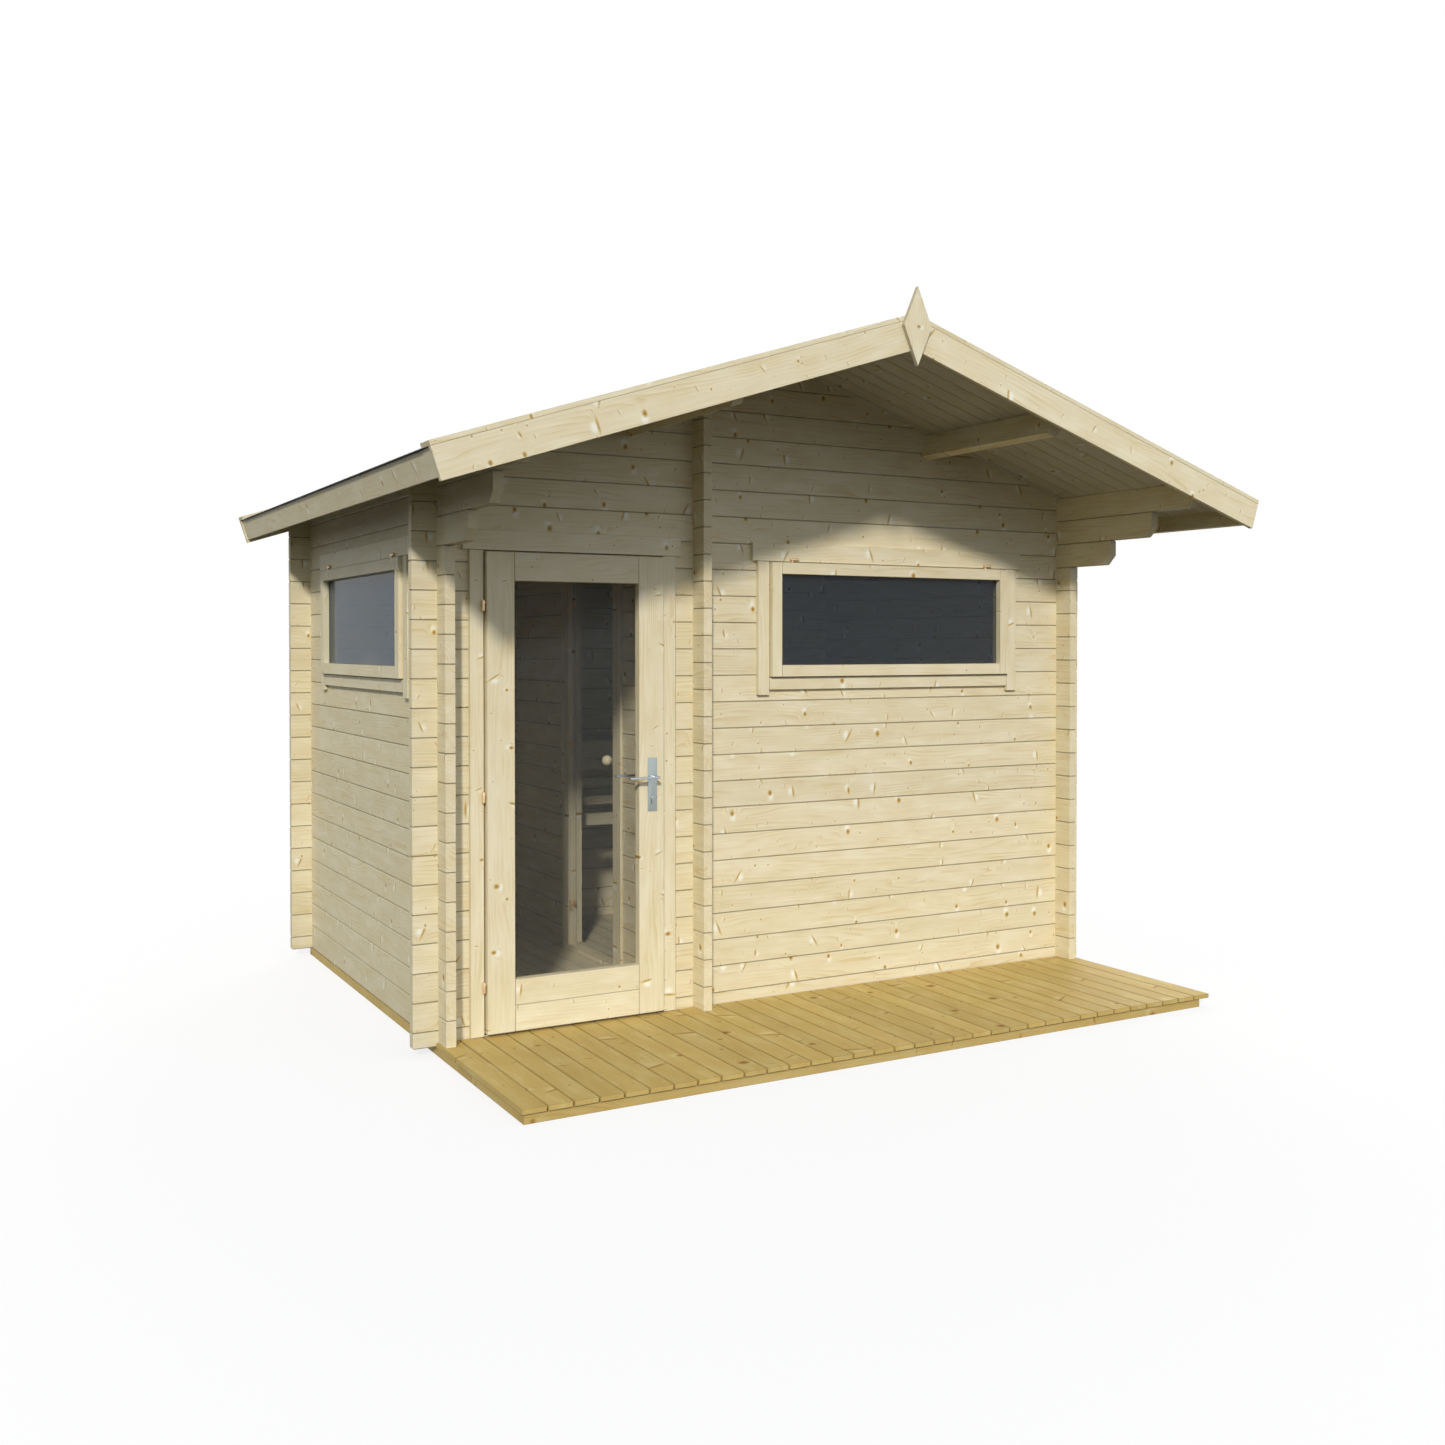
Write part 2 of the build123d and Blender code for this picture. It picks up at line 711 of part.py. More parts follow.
def build_inner_door():
    x0 = partition_left - inner_casing_thickness
    x1 = partition_right + inner_casing_thickness
    jamb = inner_jamb_thickness
    near, far = inner_cut_near, inner_cut_far
    top = corbel_bottom
    opening_top = inner_leaf_top + inner_door_gap
    foot = block(partition_left, partition_right, near, far, 0, floor_thickness)
    outer = block(x0, x1, near, far, floor_thickness, top).fuse(foot)
    opening = block(x0, x1, inner_near, inner_far, inner_sill_height, opening_top)
    stop_x = inner_glass_back + inner_door_gap
    stop = block(stop_x, x1, inner_near, inner_far, inner_sill_height, opening_top).cut(
        block(stop_x, x1, inner_near + inner_stop, inner_far - inner_stop,
              inner_sill_height + inner_stop, opening_top - inner_stop))
    casings = []
    for c0, c1 in ((x0, partition_left), (partition_right, x1)):
        board = block(c0, c1, near - inner_casing_width + jamb / 2, far + inner_casing_width - jamb / 2,
                      floor_thickness, top + inner_casing_width - jamb / 2)
        casings.append(board.cut(block(c0, c1, near, far, 0, top)))
    save("inner_door_frame", join([outer.cut(opening), stop, *casings]))

    gap = inner_door_gap
    save("inner_door_glass", block(inner_glass_front, inner_glass_back, inner_near + gap,
                                   inner_far - gap, inner_leaf_bottom, inner_leaf_top))
    half = hinge_height / 2
    arm_half = hinge_arm_thickness / 2
    fixed = []
    moving = []
    x, y = inner_hinge_x, inner_hinge_y
    for z in inner_hinge_heights:
        low = upright(x, y, z - half, z - hinge_knuckle_gap / 2, hinge_radius)
        low_arm = block(x - arm_half, x + arm_half, y, inner_far,
                        z - half / 2 - arm_half, z - half / 2 + arm_half)
        fixed.append(join([low, low_arm]))
        high = upright(x, y, z + hinge_knuckle_gap / 2, z + half, hinge_radius)
        clamp = block(inner_glass_front - hinge_clamp_thickness, inner_glass_front,
                      y - hinge_clamp_reach, y, z + hinge_knuckle_gap / 2, z + half)
        arm = block(x, inner_glass_front, y - hinge_clamp_thickness, y,
                    z + hinge_knuckle_gap / 2, z + half)
        moving.append(join([high, arm, clamp]))
    save("inner_hinge_lower_knuckles", *fixed)
    save("inner_hinge_upper_knuckles", *moving)
    knob_y = inner_near + gap + knob_edge_distance
    knobs = []
    for face, turn in ((inner_glass_front, -90), (inner_glass_back, 90)):
        knobs.append(Pos(face, knob_y, knob_height) * Rot(0, turn, 0) * turned_knob())
    save("inner_door_knobs", *knobs)


def build_bench():
    x0, x1 = partition_right, right_face - wall_thickness
    gap = bench_end_gap
    front = back_inner - bench_depth
    beam_y0 = front + slat_thickness
    beam_y1 = beam_y0 + bench_beam_thickness
    seat_low = bench_top - seat_board_thickness
    beam_low = seat_low - bench_beam_height
    pitch_x = (x1 - x0 - 2 * batten_inset - batten_width) / (batten_count - 1)
    starts = [x0 + batten_inset + k * pitch_x for k in range(batten_count)]
    pieces = [
        block(x0, x1, beam_y0, beam_y1, beam_low, seat_low),
        block(x0, x1, back_inner - bench_beam_thickness, back_inner, beam_low, seat_low),
        block(x0, x0 + bench_beam_thickness, beam_y0, back_inner, beam_low, seat_low),
        block(x1 - bench_beam_thickness, x1, beam_y0, back_inner, beam_low, seat_low),
    ]
    lowest = bench_front_boards[-1][0]
    for x in starts:
        pieces.append(block(x, x + batten_width, beam_y0, beam_y1, lowest, beam_low))
        pieces.append(block(x, x + batten_width, beam_y0, back_inner, beam_low, seat_low))
    save("bench_frame", join(pieces))
    fronts = [block(x0 + gap, x1 - gap, front, beam_y0, a, b) for a, b in bench_front_boards]
    fronts.append(block(x0 + gap, x1 - gap, front, beam_y0, bench_top - fascia_board_height, bench_top))
    save("bench_front_boards", *fronts)
    seat_pitch = (bench_depth - slat_thickness) / seat_board_count
    seat_gap = seat_pitch - seat_board_width
    seats = [
        block(x0 + gap, x1 - gap, beam_y0 + seat_gap / 2 + k * seat_pitch,
              beam_y0 + seat_gap / 2 + k * seat_pitch + seat_board_width, seat_low, bench_top)
        for k in range(seat_board_count)
    ]
    save("bench_seat_boards", *seats)


os.makedirs("parts", exist_ok=True)
build_floor()
build_terrace()
build_front_wall()
build_gable("front_gable", 0, wall_thickness, [door_opening()])
build_back_wall()
build_gable("back_gable", back_inner, cabin_depth, [])
build_side_walls()
save("left_eave_logs", eave_logs(left_face, left_face + wall_thickness))
save("right_eave_logs", eave_logs(right_face - wall_thickness, right_face))
build_partition()
build_roof()
build_barges()
build_door()
build_windows()
build_inner_door()
build_bench()
print("ridge underside", round(ridge_underside, 1), "centre y", round(centre_y, 1))
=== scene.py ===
# %% [markdown]
# # A log sauna cabin, dressed step by step
# The construction comes first: every log, board, hinge and pane is already in place at its real
# size. This lesson gives that frame its surfaces, so each step only asks what a piece is made of, and
# how light would show it. Sizes and places stay, apart from three panes that go deeper into their
# frames, and a drip edge of felt that stands past the eaves.

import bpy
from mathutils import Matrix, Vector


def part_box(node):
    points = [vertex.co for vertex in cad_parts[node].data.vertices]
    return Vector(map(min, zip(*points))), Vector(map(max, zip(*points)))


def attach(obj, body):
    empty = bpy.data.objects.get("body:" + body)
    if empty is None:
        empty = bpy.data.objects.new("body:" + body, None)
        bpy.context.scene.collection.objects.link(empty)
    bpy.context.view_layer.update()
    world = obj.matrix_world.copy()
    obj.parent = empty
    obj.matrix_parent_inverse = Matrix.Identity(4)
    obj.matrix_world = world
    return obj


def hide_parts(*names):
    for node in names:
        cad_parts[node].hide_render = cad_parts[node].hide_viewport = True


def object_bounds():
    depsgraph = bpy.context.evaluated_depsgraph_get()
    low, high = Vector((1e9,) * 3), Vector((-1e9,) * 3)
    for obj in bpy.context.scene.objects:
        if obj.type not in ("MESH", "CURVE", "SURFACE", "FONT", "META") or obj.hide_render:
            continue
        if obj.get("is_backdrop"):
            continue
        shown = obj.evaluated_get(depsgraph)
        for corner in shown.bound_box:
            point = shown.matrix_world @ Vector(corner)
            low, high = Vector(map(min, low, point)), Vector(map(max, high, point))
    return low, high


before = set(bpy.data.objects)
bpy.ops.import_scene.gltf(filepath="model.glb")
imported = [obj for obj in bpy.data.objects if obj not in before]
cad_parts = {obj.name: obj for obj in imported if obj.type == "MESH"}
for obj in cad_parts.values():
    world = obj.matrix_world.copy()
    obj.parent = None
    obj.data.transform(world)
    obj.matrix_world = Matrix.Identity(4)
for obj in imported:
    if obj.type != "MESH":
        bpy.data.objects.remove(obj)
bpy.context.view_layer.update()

# %% [markdown]
# All lengths in this lesson are metres, x runs to the right along the front, y to the back and z up.

# %% Modules and axes
import math
import random

import bmesh
import bpy
from mathutils import Matrix, Vector

X_AXIS, Y_AXIS, Z_AXIS = Vector((1, 0, 0)), Vector((0, 1, 0)), Vector((0, 0, 1))
AXES = {"x": X_AXIS, "y": Y_AXIS, "z": Z_AXIS}

# %% [markdown]
# ## The camera
# The picture is seen from the front left, at standing height, a little under five metres from the
# nearest corner. A camera can be aimed at a point or given an exact place and turn. Here the place
# and turn are known, so they are set as numbers. The frame is square. A small lens shift keeps the
# walls upright, as an architect's camera does.

# %% Camera
picture_side = 1445
focal_pixels = 1430.2
sensor = 36.0
look_right = math.radians(29.593)
look_down = math.radians(0.829)
viewer_place = (-3.3161, -6.0497, 1.5991)
picture_centre = (738.62, 666.27)

camera_data = bpy.data.cameras.new("camera")
camera_data.sensor_width = sensor
camera_data.lens = focal_pixels / picture_side * sensor
camera_data.shift_x = (picture_side / 2 - picture_centre[0]) / picture_side
camera_data.shift_y = (picture_centre[1] - picture_side / 2) / picture_side
camera_data.clip_end = 200
camera = bpy.data.objects.new("camera", camera_data)
camera.location = viewer_place
camera.rotation_euler = (math.radians(90) - look_down, 0, -look_right)
bpy.context.scene.collection.objects.link(camera)
bpy.context.scene.camera = camera
print("lens", round(camera_data.lens, 2), "mm")

# %% [markdown]
# ## Shader maths in plain sums
# A material is a net of nodes, and written by hand that net hides what it works out. A small class
# that wraps a socket lets Python's own signs add the Math nodes, so a mask reads like a formula.
# Colours and vectors need Mix and Vector Math instead, because a Math node turns a colour grey.

# %% A socket that can be added, multiplied and raised
class Link:
    """A socket in a material. Sums of links add Math nodes."""

    def __init__(self, tree, socket):
        self.tree = tree
        self.socket = socket

    def math(self, operation, *values):
        return self.tree.add("ShaderNodeMath", {"operation": operation}, dict(enumerate(values)))

    def __add__(self, other):
        return self.math("ADD", self, other)

    __radd__ = __add__

    def __sub__(self, other):
        return self.math("SUBTRACT", self, other)

    def __rsub__(self, other):
        return self.math("SUBTRACT", other, self)

    def __mul__(self, other):
        return self.math("MULTIPLY", self, other)

    __rmul__ = __mul__

    def __truediv__(self, other):
        return self.math("DIVIDE", self, other)

    def __pow__(self, other):
        return self.math("POWER", self, other)

    def __abs__(self):
        return self.math("ABSOLUTE", self)

    def sign(self):
        return self.math("SIGN", self)

    def exponent(self):
        return self.math("EXPONENT", self)

    def floor(self):
        return self.math("FLOOR", self)

    def fraction(self):
        return self.math("FRACT", self)

    def least(self, other):
        return self.math("MINIMUM", self, other)

    def most(self, other):
        return self.math("MAXIMUM", self, other)

    def other(self, name):
        """Another output of the same node."""
        return Link(self.tree, self.socket.node.outputs[name])


print("links can be added, multiplied and raised")

# %% [markdown]
# The nodes themselves come from one method that takes a node's type, its settings and what goes into
# its sockets. Colours, noise and smooth steps are used so often that each has a short name.

# %% A tree of nodes
class Tree:
    """The nodes of one material, or of the sky."""

    def __init__(self, name, family=bpy.data.materials, output="ShaderNodeOutputMaterial"):
        self.owner = family.new(name)
        self.owner.use_nodes = True
        self.nodes = self.owner.node_tree.nodes
        self.nodes.clear()
        self.output = output

    def add(self, kind, settings=None, inputs=None, output=0):
        """Any node: its type, its settings, and the values or links of its sockets."""
        node = self.nodes.new(kind)
        for name, value in (settings or {}).items():
            setattr(node, name, value)
        for name, value in (inputs or {}).items():
            if isinstance(value, Link):
                self.owner.node_tree.links.new(value.socket, node.inputs[name])
            else:
                node.inputs[name].default_value = value
        return Link(self, node.outputs[output]) if node.outputs else node

    def between(self, value, low, high):
        """0 below low, 1 above high, smooth in between."""
        return self.add("ShaderNodeMapRange", {"interpolation_type": "SMOOTHSTEP"},
                        {"Value": value, "From Min": low, "From Max": high})

    def mix(self, share, first, second):
        """Colour first where share is 0, second where it is 1."""
        first, second = ((c if isinstance(c, Link) else (*c, 1)) for c in (first, second))
        return self.add("ShaderNodeMix", {"data_type": "RGBA"}, {0: share, 6: first, 7: second}, 2)

    def tint(self, colour, factor):
        """A colour made lighter or darker by a number."""
        grey = self.add("ShaderNodeCombineColor", {}, {0: factor, 1: factor, 2: factor})
        return self.add("ShaderNodeMix", {"data_type": "RGBA", "blend_type": "MULTIPLY"},
                        {0: 1.0, 6: colour, 7: grey}, 2)

    def bump(self, height, strength, depth):
        """A normal for relief of so much depth."""
        return self.add("ShaderNodeBump", {}, {
            "Strength": strength, "Distance": depth, "Height": height})

    def split(self, vector):
        parts = self.add("ShaderNodeSeparateXYZ", {}, {0: vector})
        return parts, parts.other(1), parts.other(2)

    def vector(self, x, y, z):
        return self.add("ShaderNodeCombineXYZ", {}, {0: x, 1: y, 2: z})

    def noise(self, vector, detail=2.0, scale=1.0):
        return self.add("ShaderNodeTexNoise", {},
                        {"Vector": vector, "Scale": scale, "Detail": detail})

    def finish(self, shader):
        self.add(self.output, {}, {"Surface": shader})
        return self.owner


print("shader helpers ready")

# %% [markdown]
# ## Floor, backdrop and light
# The picture has a white ground and a low sun from behind the viewer's left shoulder, which throws
# the gable's shadow on the front wall. The ground could be lit until it is white, but then the pale
# wood would burn out. So the ground only shows white to the camera and to glass and metal, and to
# everything else it is a dark grey that bounces little. It keeps part of the shadow. A weak, very
# soft second light from the front reaches under the roof, where the sun doesn't.

# %% Ground
near_white = 0.76
white_begins, white_full = 2.5, 7.0


def shows(tree):
    """1 for what the camera sees, straight, in a shine or through glass, and 0 for other light."""
    path = tree.add("ShaderNodeLightPath", {}, {}, "Is Camera Ray")
    return path.most(path.other("Is Glossy Ray")).most(path.other("Is Transmission Ray"))


def make_ground():
    tree = Tree("ground")
    place = tree.add("ShaderNodeTexCoord", {}, {}, "Object")
    away = tree.add("ShaderNodeVectorMath", {"operation": "LENGTH"}, {0: place}, "Value")
    seen = shows(tree)
    share = seen * (near_white + (1 - near_white) * tree.between(away, white_begins, white_full))
    bounce = tree.add("ShaderNodeBsdfDiffuse", {}, {"Color": (0.03, 0.03, 0.03, 1)}, "BSDF")
    shown = tree.add("ShaderNodeBsdfDiffuse", {}, {"Color": (0.95, 0.95, 0.95, 1)}, "BSDF")
    ground = tree.add("ShaderNodeMixShader", {}, {0: seen, 1: bounce, 2: shown})
    white = tree.add("ShaderNodeEmission", {}, {"Color": (1, 1, 1, 1), "Strength": 1.0})
    return tree.finish(tree.add("ShaderNodeMixShader", {}, {0: share, 1: ground, 2: white}))


ground_reach = 60.0
mesh = bpy.data.meshes.new("ground")
corners = [(x * ground_reach, y * ground_reach, 0) for x, y in ((-1, -1), (1, -1), (1, 1), (-1, 1))]
mesh.from_pydata(corners, [], [(0, 1, 2, 3)])
mesh.materials.append(make_ground())
ground = bpy.data.objects.new("ground", mesh)
bpy.context.scene.collection.objects.link(ground)
ground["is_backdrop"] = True
print("ground", 2 * ground_reach, "m wide")

# %% [markdown]
# The sun is a distant lamp, so its shadows run parallel, and it is wide enough for a soft edge. The
# sky is an even, slightly blue dome, but to the camera it is white, like the ground. A third lamp
# from behind lifts the two walls that the picture doesn't show, so that they read as the same wood.

# %% Sun, fill lights and sky
sky_strength = 0.52
sky_colour = (0.93, 1.01, 1.08)


def distant_light(name, from_left, height, softness, strength, colour):
    """Parallel light, with the angles it comes from and how wide its source looks, in degrees."""
    data = bpy.data.lights.new(name, "SUN")
    data.energy = strength
    data.angle = math.radians(softness)
    data.color = colour
    light = bpy.data.objects.new(name, data)
    light.rotation_euler = (math.radians(90 - height), 0, math.radians(-from_left))
    bpy.context.scene.collection.objects.link(light)


distant_light("sun", 31.0, 27.5, 4.5, 2.55, (1.0, 0.94, 0.89))
distant_light("fill", -20.0, 14.0, 80.0, 0.58, (0.91, 0.93, 1.14))
distant_light("back_fill", -150.0, 30.0, 40.0, 1.1, (1.0, 0.97, 0.92))
sky = Tree("sky", bpy.data.worlds, "ShaderNodeOutputWorld")
soft = sky.add("ShaderNodeBackground", {}, {"Color": (*sky_colour, 1), "Strength": sky_strength})
white = sky.add("ShaderNodeBackground", {}, {"Color": (1, 1, 1, 1), "Strength": 1.0})
bpy.context.scene.world = sky.finish(
    sky.add("ShaderNodeMixShader", {}, {0: shows(sky), 1: soft, 2: white}))
bpy.context.scene.view_settings.view_transform = "Standard"
print("lights", [lamp.name for lamp in bpy.data.lights], "sky", sky_strength)

# %% [markdown]
# ## Spruce, as a solid
# Planed spruce is pale cream with faint yellow growth lines that bend round knots, a few orange
# knots with a whitish flare beside them, and fine streaks along the grain. A picture of wood would
# be the usual way. Here the wood is worked out in space instead, in three directions for each board:
# u along the grain, v across its wide face and w through it. Every board starts at its own place in
# that space, so no two look alike, and log ends cut through the same rings.

# %% Looks of the woods
SPRUCE = dict(
    name="spruce", light=(0.71, 0.64, 0.43), line=(0.58, 0.455, 0.20), pale=(0.76, 0.71, 0.52),
    flare=(0.83, 0.825, 0.69), knot=(0.37, 0.205, 0.025), rim=(0.54, 0.39, 0.12), line_share=0.75,
    knot_size=0.0092, knot_share=0.68, knot_u=0.22, knot_v=0.088, rings=52.0, wander=11.0,
    tone=0.08, rough=0.62)
JOINERY = dict(SPRUCE, name="joinery", light=(0.715, 0.65, 0.44), knot_share=0.55, knot_u=0.26,
               line_share=0.6, rings=60.0, tone=0.05, rough=0.55)
TREATED = dict(
    name="treated", light=(0.545, 0.40, 0.13), line=(0.43, 0.275, 0.06), pale=(0.60, 0.475, 0.19),
    flare=(0.62, 0.50, 0.21), knot=(0.25, 0.115, 0.015), rim=(0.40, 0.225, 0.04), line_share=0.7,
    knot_size=0.017, knot_share=0.50, knot_u=0.36, knot_v=0.10, rings=70.0, wander=14.0,
    tone=0.12, rough=0.6)
print("looks of", [wood["name"] for wood in (SPRUCE, JOINERY, TREATED)])

# %% [markdown]
# Knots are scattered by a Voronoi texture, whose cells each give one place and some luck. The luck
# sets the size, whether a branch was cut across or along, and on which side the fibres lie pale.

# %% Knots
def knot_field(tree, u, v, look, step, size, share):
    """Scattered knots: how near the next one is in radii, the pale glow beside it, whether it was
    cut along its length, and whether it is there at all."""
    # At step 1 a cell of the texture is knot_u by knot_v metres, at step 2 half as much.
    spot_u = u / look["knot_u"] * step
    spot_v = v / look["knot_v"] * step
    cells = tree.add("ShaderNodeTexVoronoi", {"voronoi_dimensions": "2D"},
                     {"Vector": tree.vector(spot_u, spot_v, 0), "Scale": 1.0, "Randomness": 0.92},
                     "Position")
    centre_u, centre_v, _ = tree.split(cells)
    luck, luck_size, luck_side = tree.split(cells.other("Color"))
    # About half of the knots are strokes, cut along the branch and leaning by a slant.
    stroke = tree.between((luck * 31.0).fraction(), 0.40, 0.50)
    slant = (luck * 57.0).fraction() * 1.3 - 0.65
    side = (luck_side - 0.5).sign()
    away_u = (spot_u - centre_u) * (look["knot_u"] / step)
    away_v = (spot_v - centre_v) * (look["knot_v"] / step)
    # The distance is in radii, so 1 is the knot's edge, and a ripple roughens it.
    radius = size * (0.35 + luck_size * 0.9)
    ripple = tree.noise(tree.vector(u, v, 0), 1.0, 160.0) * 0.8 - 0.4
    wide = (away_u + away_v * slant * stroke) * (1.25 + 1.25 * stroke) / radius
    tall = away_v / (radius * (1 + 1.2 * stroke))
    near = (wide * wide + tall * tall) ** 0.5 + ripple
    # The pale flare is a wider oval whose middle lies to one side of the knot.
    flare_u = away_u / radius - side * (0.5 + 0.9 * stroke)
    flare_v = away_v / radius + side * (1.7 - 1.3 * stroke)
    flare = (flare_u * flare_u * 0.42 + flare_v * flare_v * 0.26) ** 0.5 + ripple * 0.4
    there = tree.between(luck, 1 - share, 1 - share + 0.02)
    glow = (1 - tree.between(flare, 0.1, 1.45)) * there * tree.between(luck_size, -0.1, 0.75)
    return near, glow, stroke, there


print("knot field ready")

# %% [markdown]
# Growth lines lie where a level that rises across the board passes a whole number. Noise bends them
# and each knot pulls them round it. Over them go clouds of paler wood, fine fibres and the knots, and
# on an end the rings.

# %% The wood itself
def wood_shader(tree, u, v, w, tone, end, look, dark):
    """A Principled shader for wood at the point u, v, w of a board's own space. tone is the board's
    luck from 0 to 1, end is 1 on its end grain, and dark is the share by which painted shade
    darkens it."""
    wave = tree.noise(tree.vector(u * 0.9, v * 6.0, w * 5.0), 1.5)
    ripple = tree.noise(tree.vector(u * 2.6, v * 16.0, w * 12.0), 2.0)
    face = 1 - end
    near, glow, stroke, there = knot_field(tree, u, v, look, 1.0, look["knot_size"],
                                           look["knot_share"])
    there = there * face
    pin_near, pin_glow, _, pin_there = knot_field(
        tree, u + 7.3, v + 3.1, look, 2.0, look["knot_size"] * 0.45, look["knot_share"] * 0.55)
    pin_there = pin_there * face
    # Growth lines step up across the board and bulge round a knot.
    pull = (near * near * -0.08).exponent() * there
    level = v * look["rings"] + w * 30.0 + wave * look["wander"] + ripple * 2.0 + pull * 2.3
    line = level.fraction() ** 2.5
    strength = tree.between(tree.noise(tree.vector(u * 4.5, v * 20.0, w * 15.0), 1.0), 0.42, 0.72)
    fibre = tree.noise(tree.vector(u * 9.0, v * 420.0, w * 420.0), 2.0)
    streak = tree.noise(tree.vector(u * 2.2, v * 130.0, w * 130.0), 1.0)
    cloud = tree.noise(tree.vector(u * 5.5, v * 17.0, w * 17.0), 2.0)

    # The colour is built up from the ground tone to the knots, and on an end to the rings.
    colour = tree.mix(tree.between(cloud, 0.46, 0.72) * 0.75, look["light"], look["pale"])
    colour = tree.mix(tree.between(cloud, 0.44, 0.28) * 0.22, colour, look["line"])
    colour = tree.mix(line * look["line_share"] * (0.18 + 0.82 * strength), colour, look["line"])
    colour = tree.mix(glow.most(pin_glow * 0.3) * face, colour, look["flare"])
    ring = (1 - tree.between(near, 0.95, 1.8)) * there
    colour = tree.mix(ring * 0.7, colour, look["rim"])
    heart = (1 - tree.between(near, 0.5, 1.1)) * there
    pin = (1 - tree.between(pin_near, 0.6, 1.3)) * pin_there * 0.75
    colour = tree.mix((heart * (1 - 0.45 * stroke)).most(pin), colour, look["knot"])
    rings_end = (((v * v + w * w) ** 0.5) * 210.0 + wave * 3.0).fraction() ** 2.0
    colour = tree.mix(end * rings_end * 0.30, colour, look["line"])
    shade = 1 - look["tone"] / 2 + look["tone"] * tone + (fibre - 0.5) * 0.10 + (streak - 0.5) * 0.11
    # Painted shade: dark darkens the colour at joints and arrises.
    colour = tree.tint(colour, shade * (1 - dark))

    # Late wood lies a little lower and shinier, and a knot stands out.
    height = fibre * 0.35 - line * 0.25 * strength + heart * 0.4
    rough = look["rough"] + 0.10 * fibre - 0.12 * line * strength - 0.10 * heart
    return tree.add("ShaderNodeBsdfPrincipled", {}, {
        "Base Color": colour, "Roughness": rough, "Specular IOR Level": 0.35,
        "Normal": tree.bump(height, 0.35, 0.0012)})


def board_material(look):
    """Wood for boards made here, which carry their own grain, tone and end. Their arrises are
    darkened by the material as painted shade in the seams.
    """
    tree = Tree(look["name"] + "_boards")
    grain = tree.add("ShaderNodeAttribute", {"attribute_name": "grain"}, {}, "Vector")
    tone, end, arris = (tree.add("ShaderNodeAttribute", {"attribute_name": name}, {}, "Fac")
                        for name in ("tone", "end", "arris"))
    u, v, w = tree.split(grain)
    # Painted shade: the arris faces are darkened by 0.30, for the shadow in the seams between boards.
    return tree.finish(wood_shader(tree, u, v, w, tone, end, look, arris * 0.30))


spruce_boards = board_material(SPRUCE)
joinery_boards = board_material(JOINERY)
treated_boards = board_material(TREATED)
print("woods", spruce_boards.name, joinery_boards.name, treated_boards.name)

# %% [markdown]
# ## Logs that stay one wall
# The walls are laid logs, and the frame holds each wall as one piece with a bevelled groove at
# every joint and real notches at the corners. Building every log again would only repeat that, so
# the walls keep their meshes. The material counts the courses by height and gives each course its
# own start in the wood's space, and it paints shade on the last millimetres at each joint, where
# the groove between two logs lies in shadow.

# %% Wood for whole walls
log_height = 0.114
side_joint = 0.045
gable_joint = 0.102
joint_shadow = 0.0034


def counted_material(name, look, along, count_by, pitch, first, seed, gap=joint_shadow, slope=None):
    """Wood for a node of many boards: boards are counted along one axis, grain runs along another."""
    tree = Tree(name)
    place = tree.add("ShaderNodeTexCoord", {}, {}, "Object")
    parts = dict(zip("xyz", tree.split(place)))
    if slope:
        parts.update(slope(parts))
    normal = dict(zip("xyz", tree.split(place.other("Normal"))))
    through = "n" if slope else next(axis for axis in "xyz" if axis not in (along, count_by))
    number = ((parts[count_by] - first) / pitch).floor()
    across = parts[count_by] - first - number * pitch
    luck = tree.add("ShaderNodeTexWhiteNoise", {"noise_dimensions": "1D"}, {"W": number + seed},
                    "Color")
    luck_u, luck_v, luck_w = tree.split(luck)
    end = 0.0 if slope else tree.between(abs(normal[along]), 0.8, 0.95)
    edge = across.least(pitch - across)
    # Painted shade: the last millimetres at each joint are darkened by half, standing in for the
    # shadow in the groove.
    dark = (1 - tree.between(edge, gap * 0.4, gap)) * 0.5
    shader = wood_shader(tree, parts[along] + luck_u * 40, across + luck_v * 9 + 0.5,
                         parts[through] + luck_w * 9, luck_v, end, look, dark)
    return tree.finish(shader)


def cover(material, *names):
    """Give nodes of the construction a material."""
    for name in names:
        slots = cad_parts[name].data.materials
        slots.clear()
        slots.append(material)


gable_wood = counted_material("gable_logs", SPRUCE, "x", "z", log_height, gable_joint, 11.0)
side_wood = counted_material("side_logs", SPRUCE, "y", "z", log_height, side_joint, 53.0)
cover(gable_wood, "front_wall_left", "front_wall_lower_logs", "front_wall_window_logs",
      "front_gable", "back_wall", "back_gable")
cover(side_wood, "left_wall_lower_logs", "left_wall_window_logs", "right_wall", "left_eave_logs",
      "right_eave_logs", "partition_front", "partition_rear", "partition_head")
floor_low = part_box("floor_boards")[0]
matchboard_pitch = 0.096
floor_wood = counted_material("floor_boards", SPRUCE, "y", "x", matchboard_pitch, floor_low.x, 91.0)
cover(floor_wood, "floor_boards")
print("walls covered, courses of", log_height, "m")

# %% [markdown]
# The roof boards lie on a slope, so their grain runs down it. Two sums turn the cabin's axes into
# slope axes, and the rest of the wood stays as it is, only darker and greyer: painted shade that
# stands for the deep shade under the roof.

# %% Roof boards
roof_pitch = math.radians(18.0)
felt_low, felt_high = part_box("roof_felt_left")
roof_board_thickness = 0.024
felt_thickness = 0.003
ridge = Vector((0, 0, felt_high.z - (roof_board_thickness + felt_thickness) / math.cos(roof_pitch)))
roof_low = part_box("roof_boards_left")[0]


def down_slope(parts):
    """s runs down from the ridge, n up from the boards' underside."""
    out = abs(parts["x"])
    drop = ridge.z - parts["z"]
    slope_s = out * math.cos(roof_pitch) + drop * math.sin(roof_pitch)
    slope_n = out * math.sin(roof_pitch) - drop * math.cos(roof_pitch)
    return {"s": slope_s, "n": slope_n}
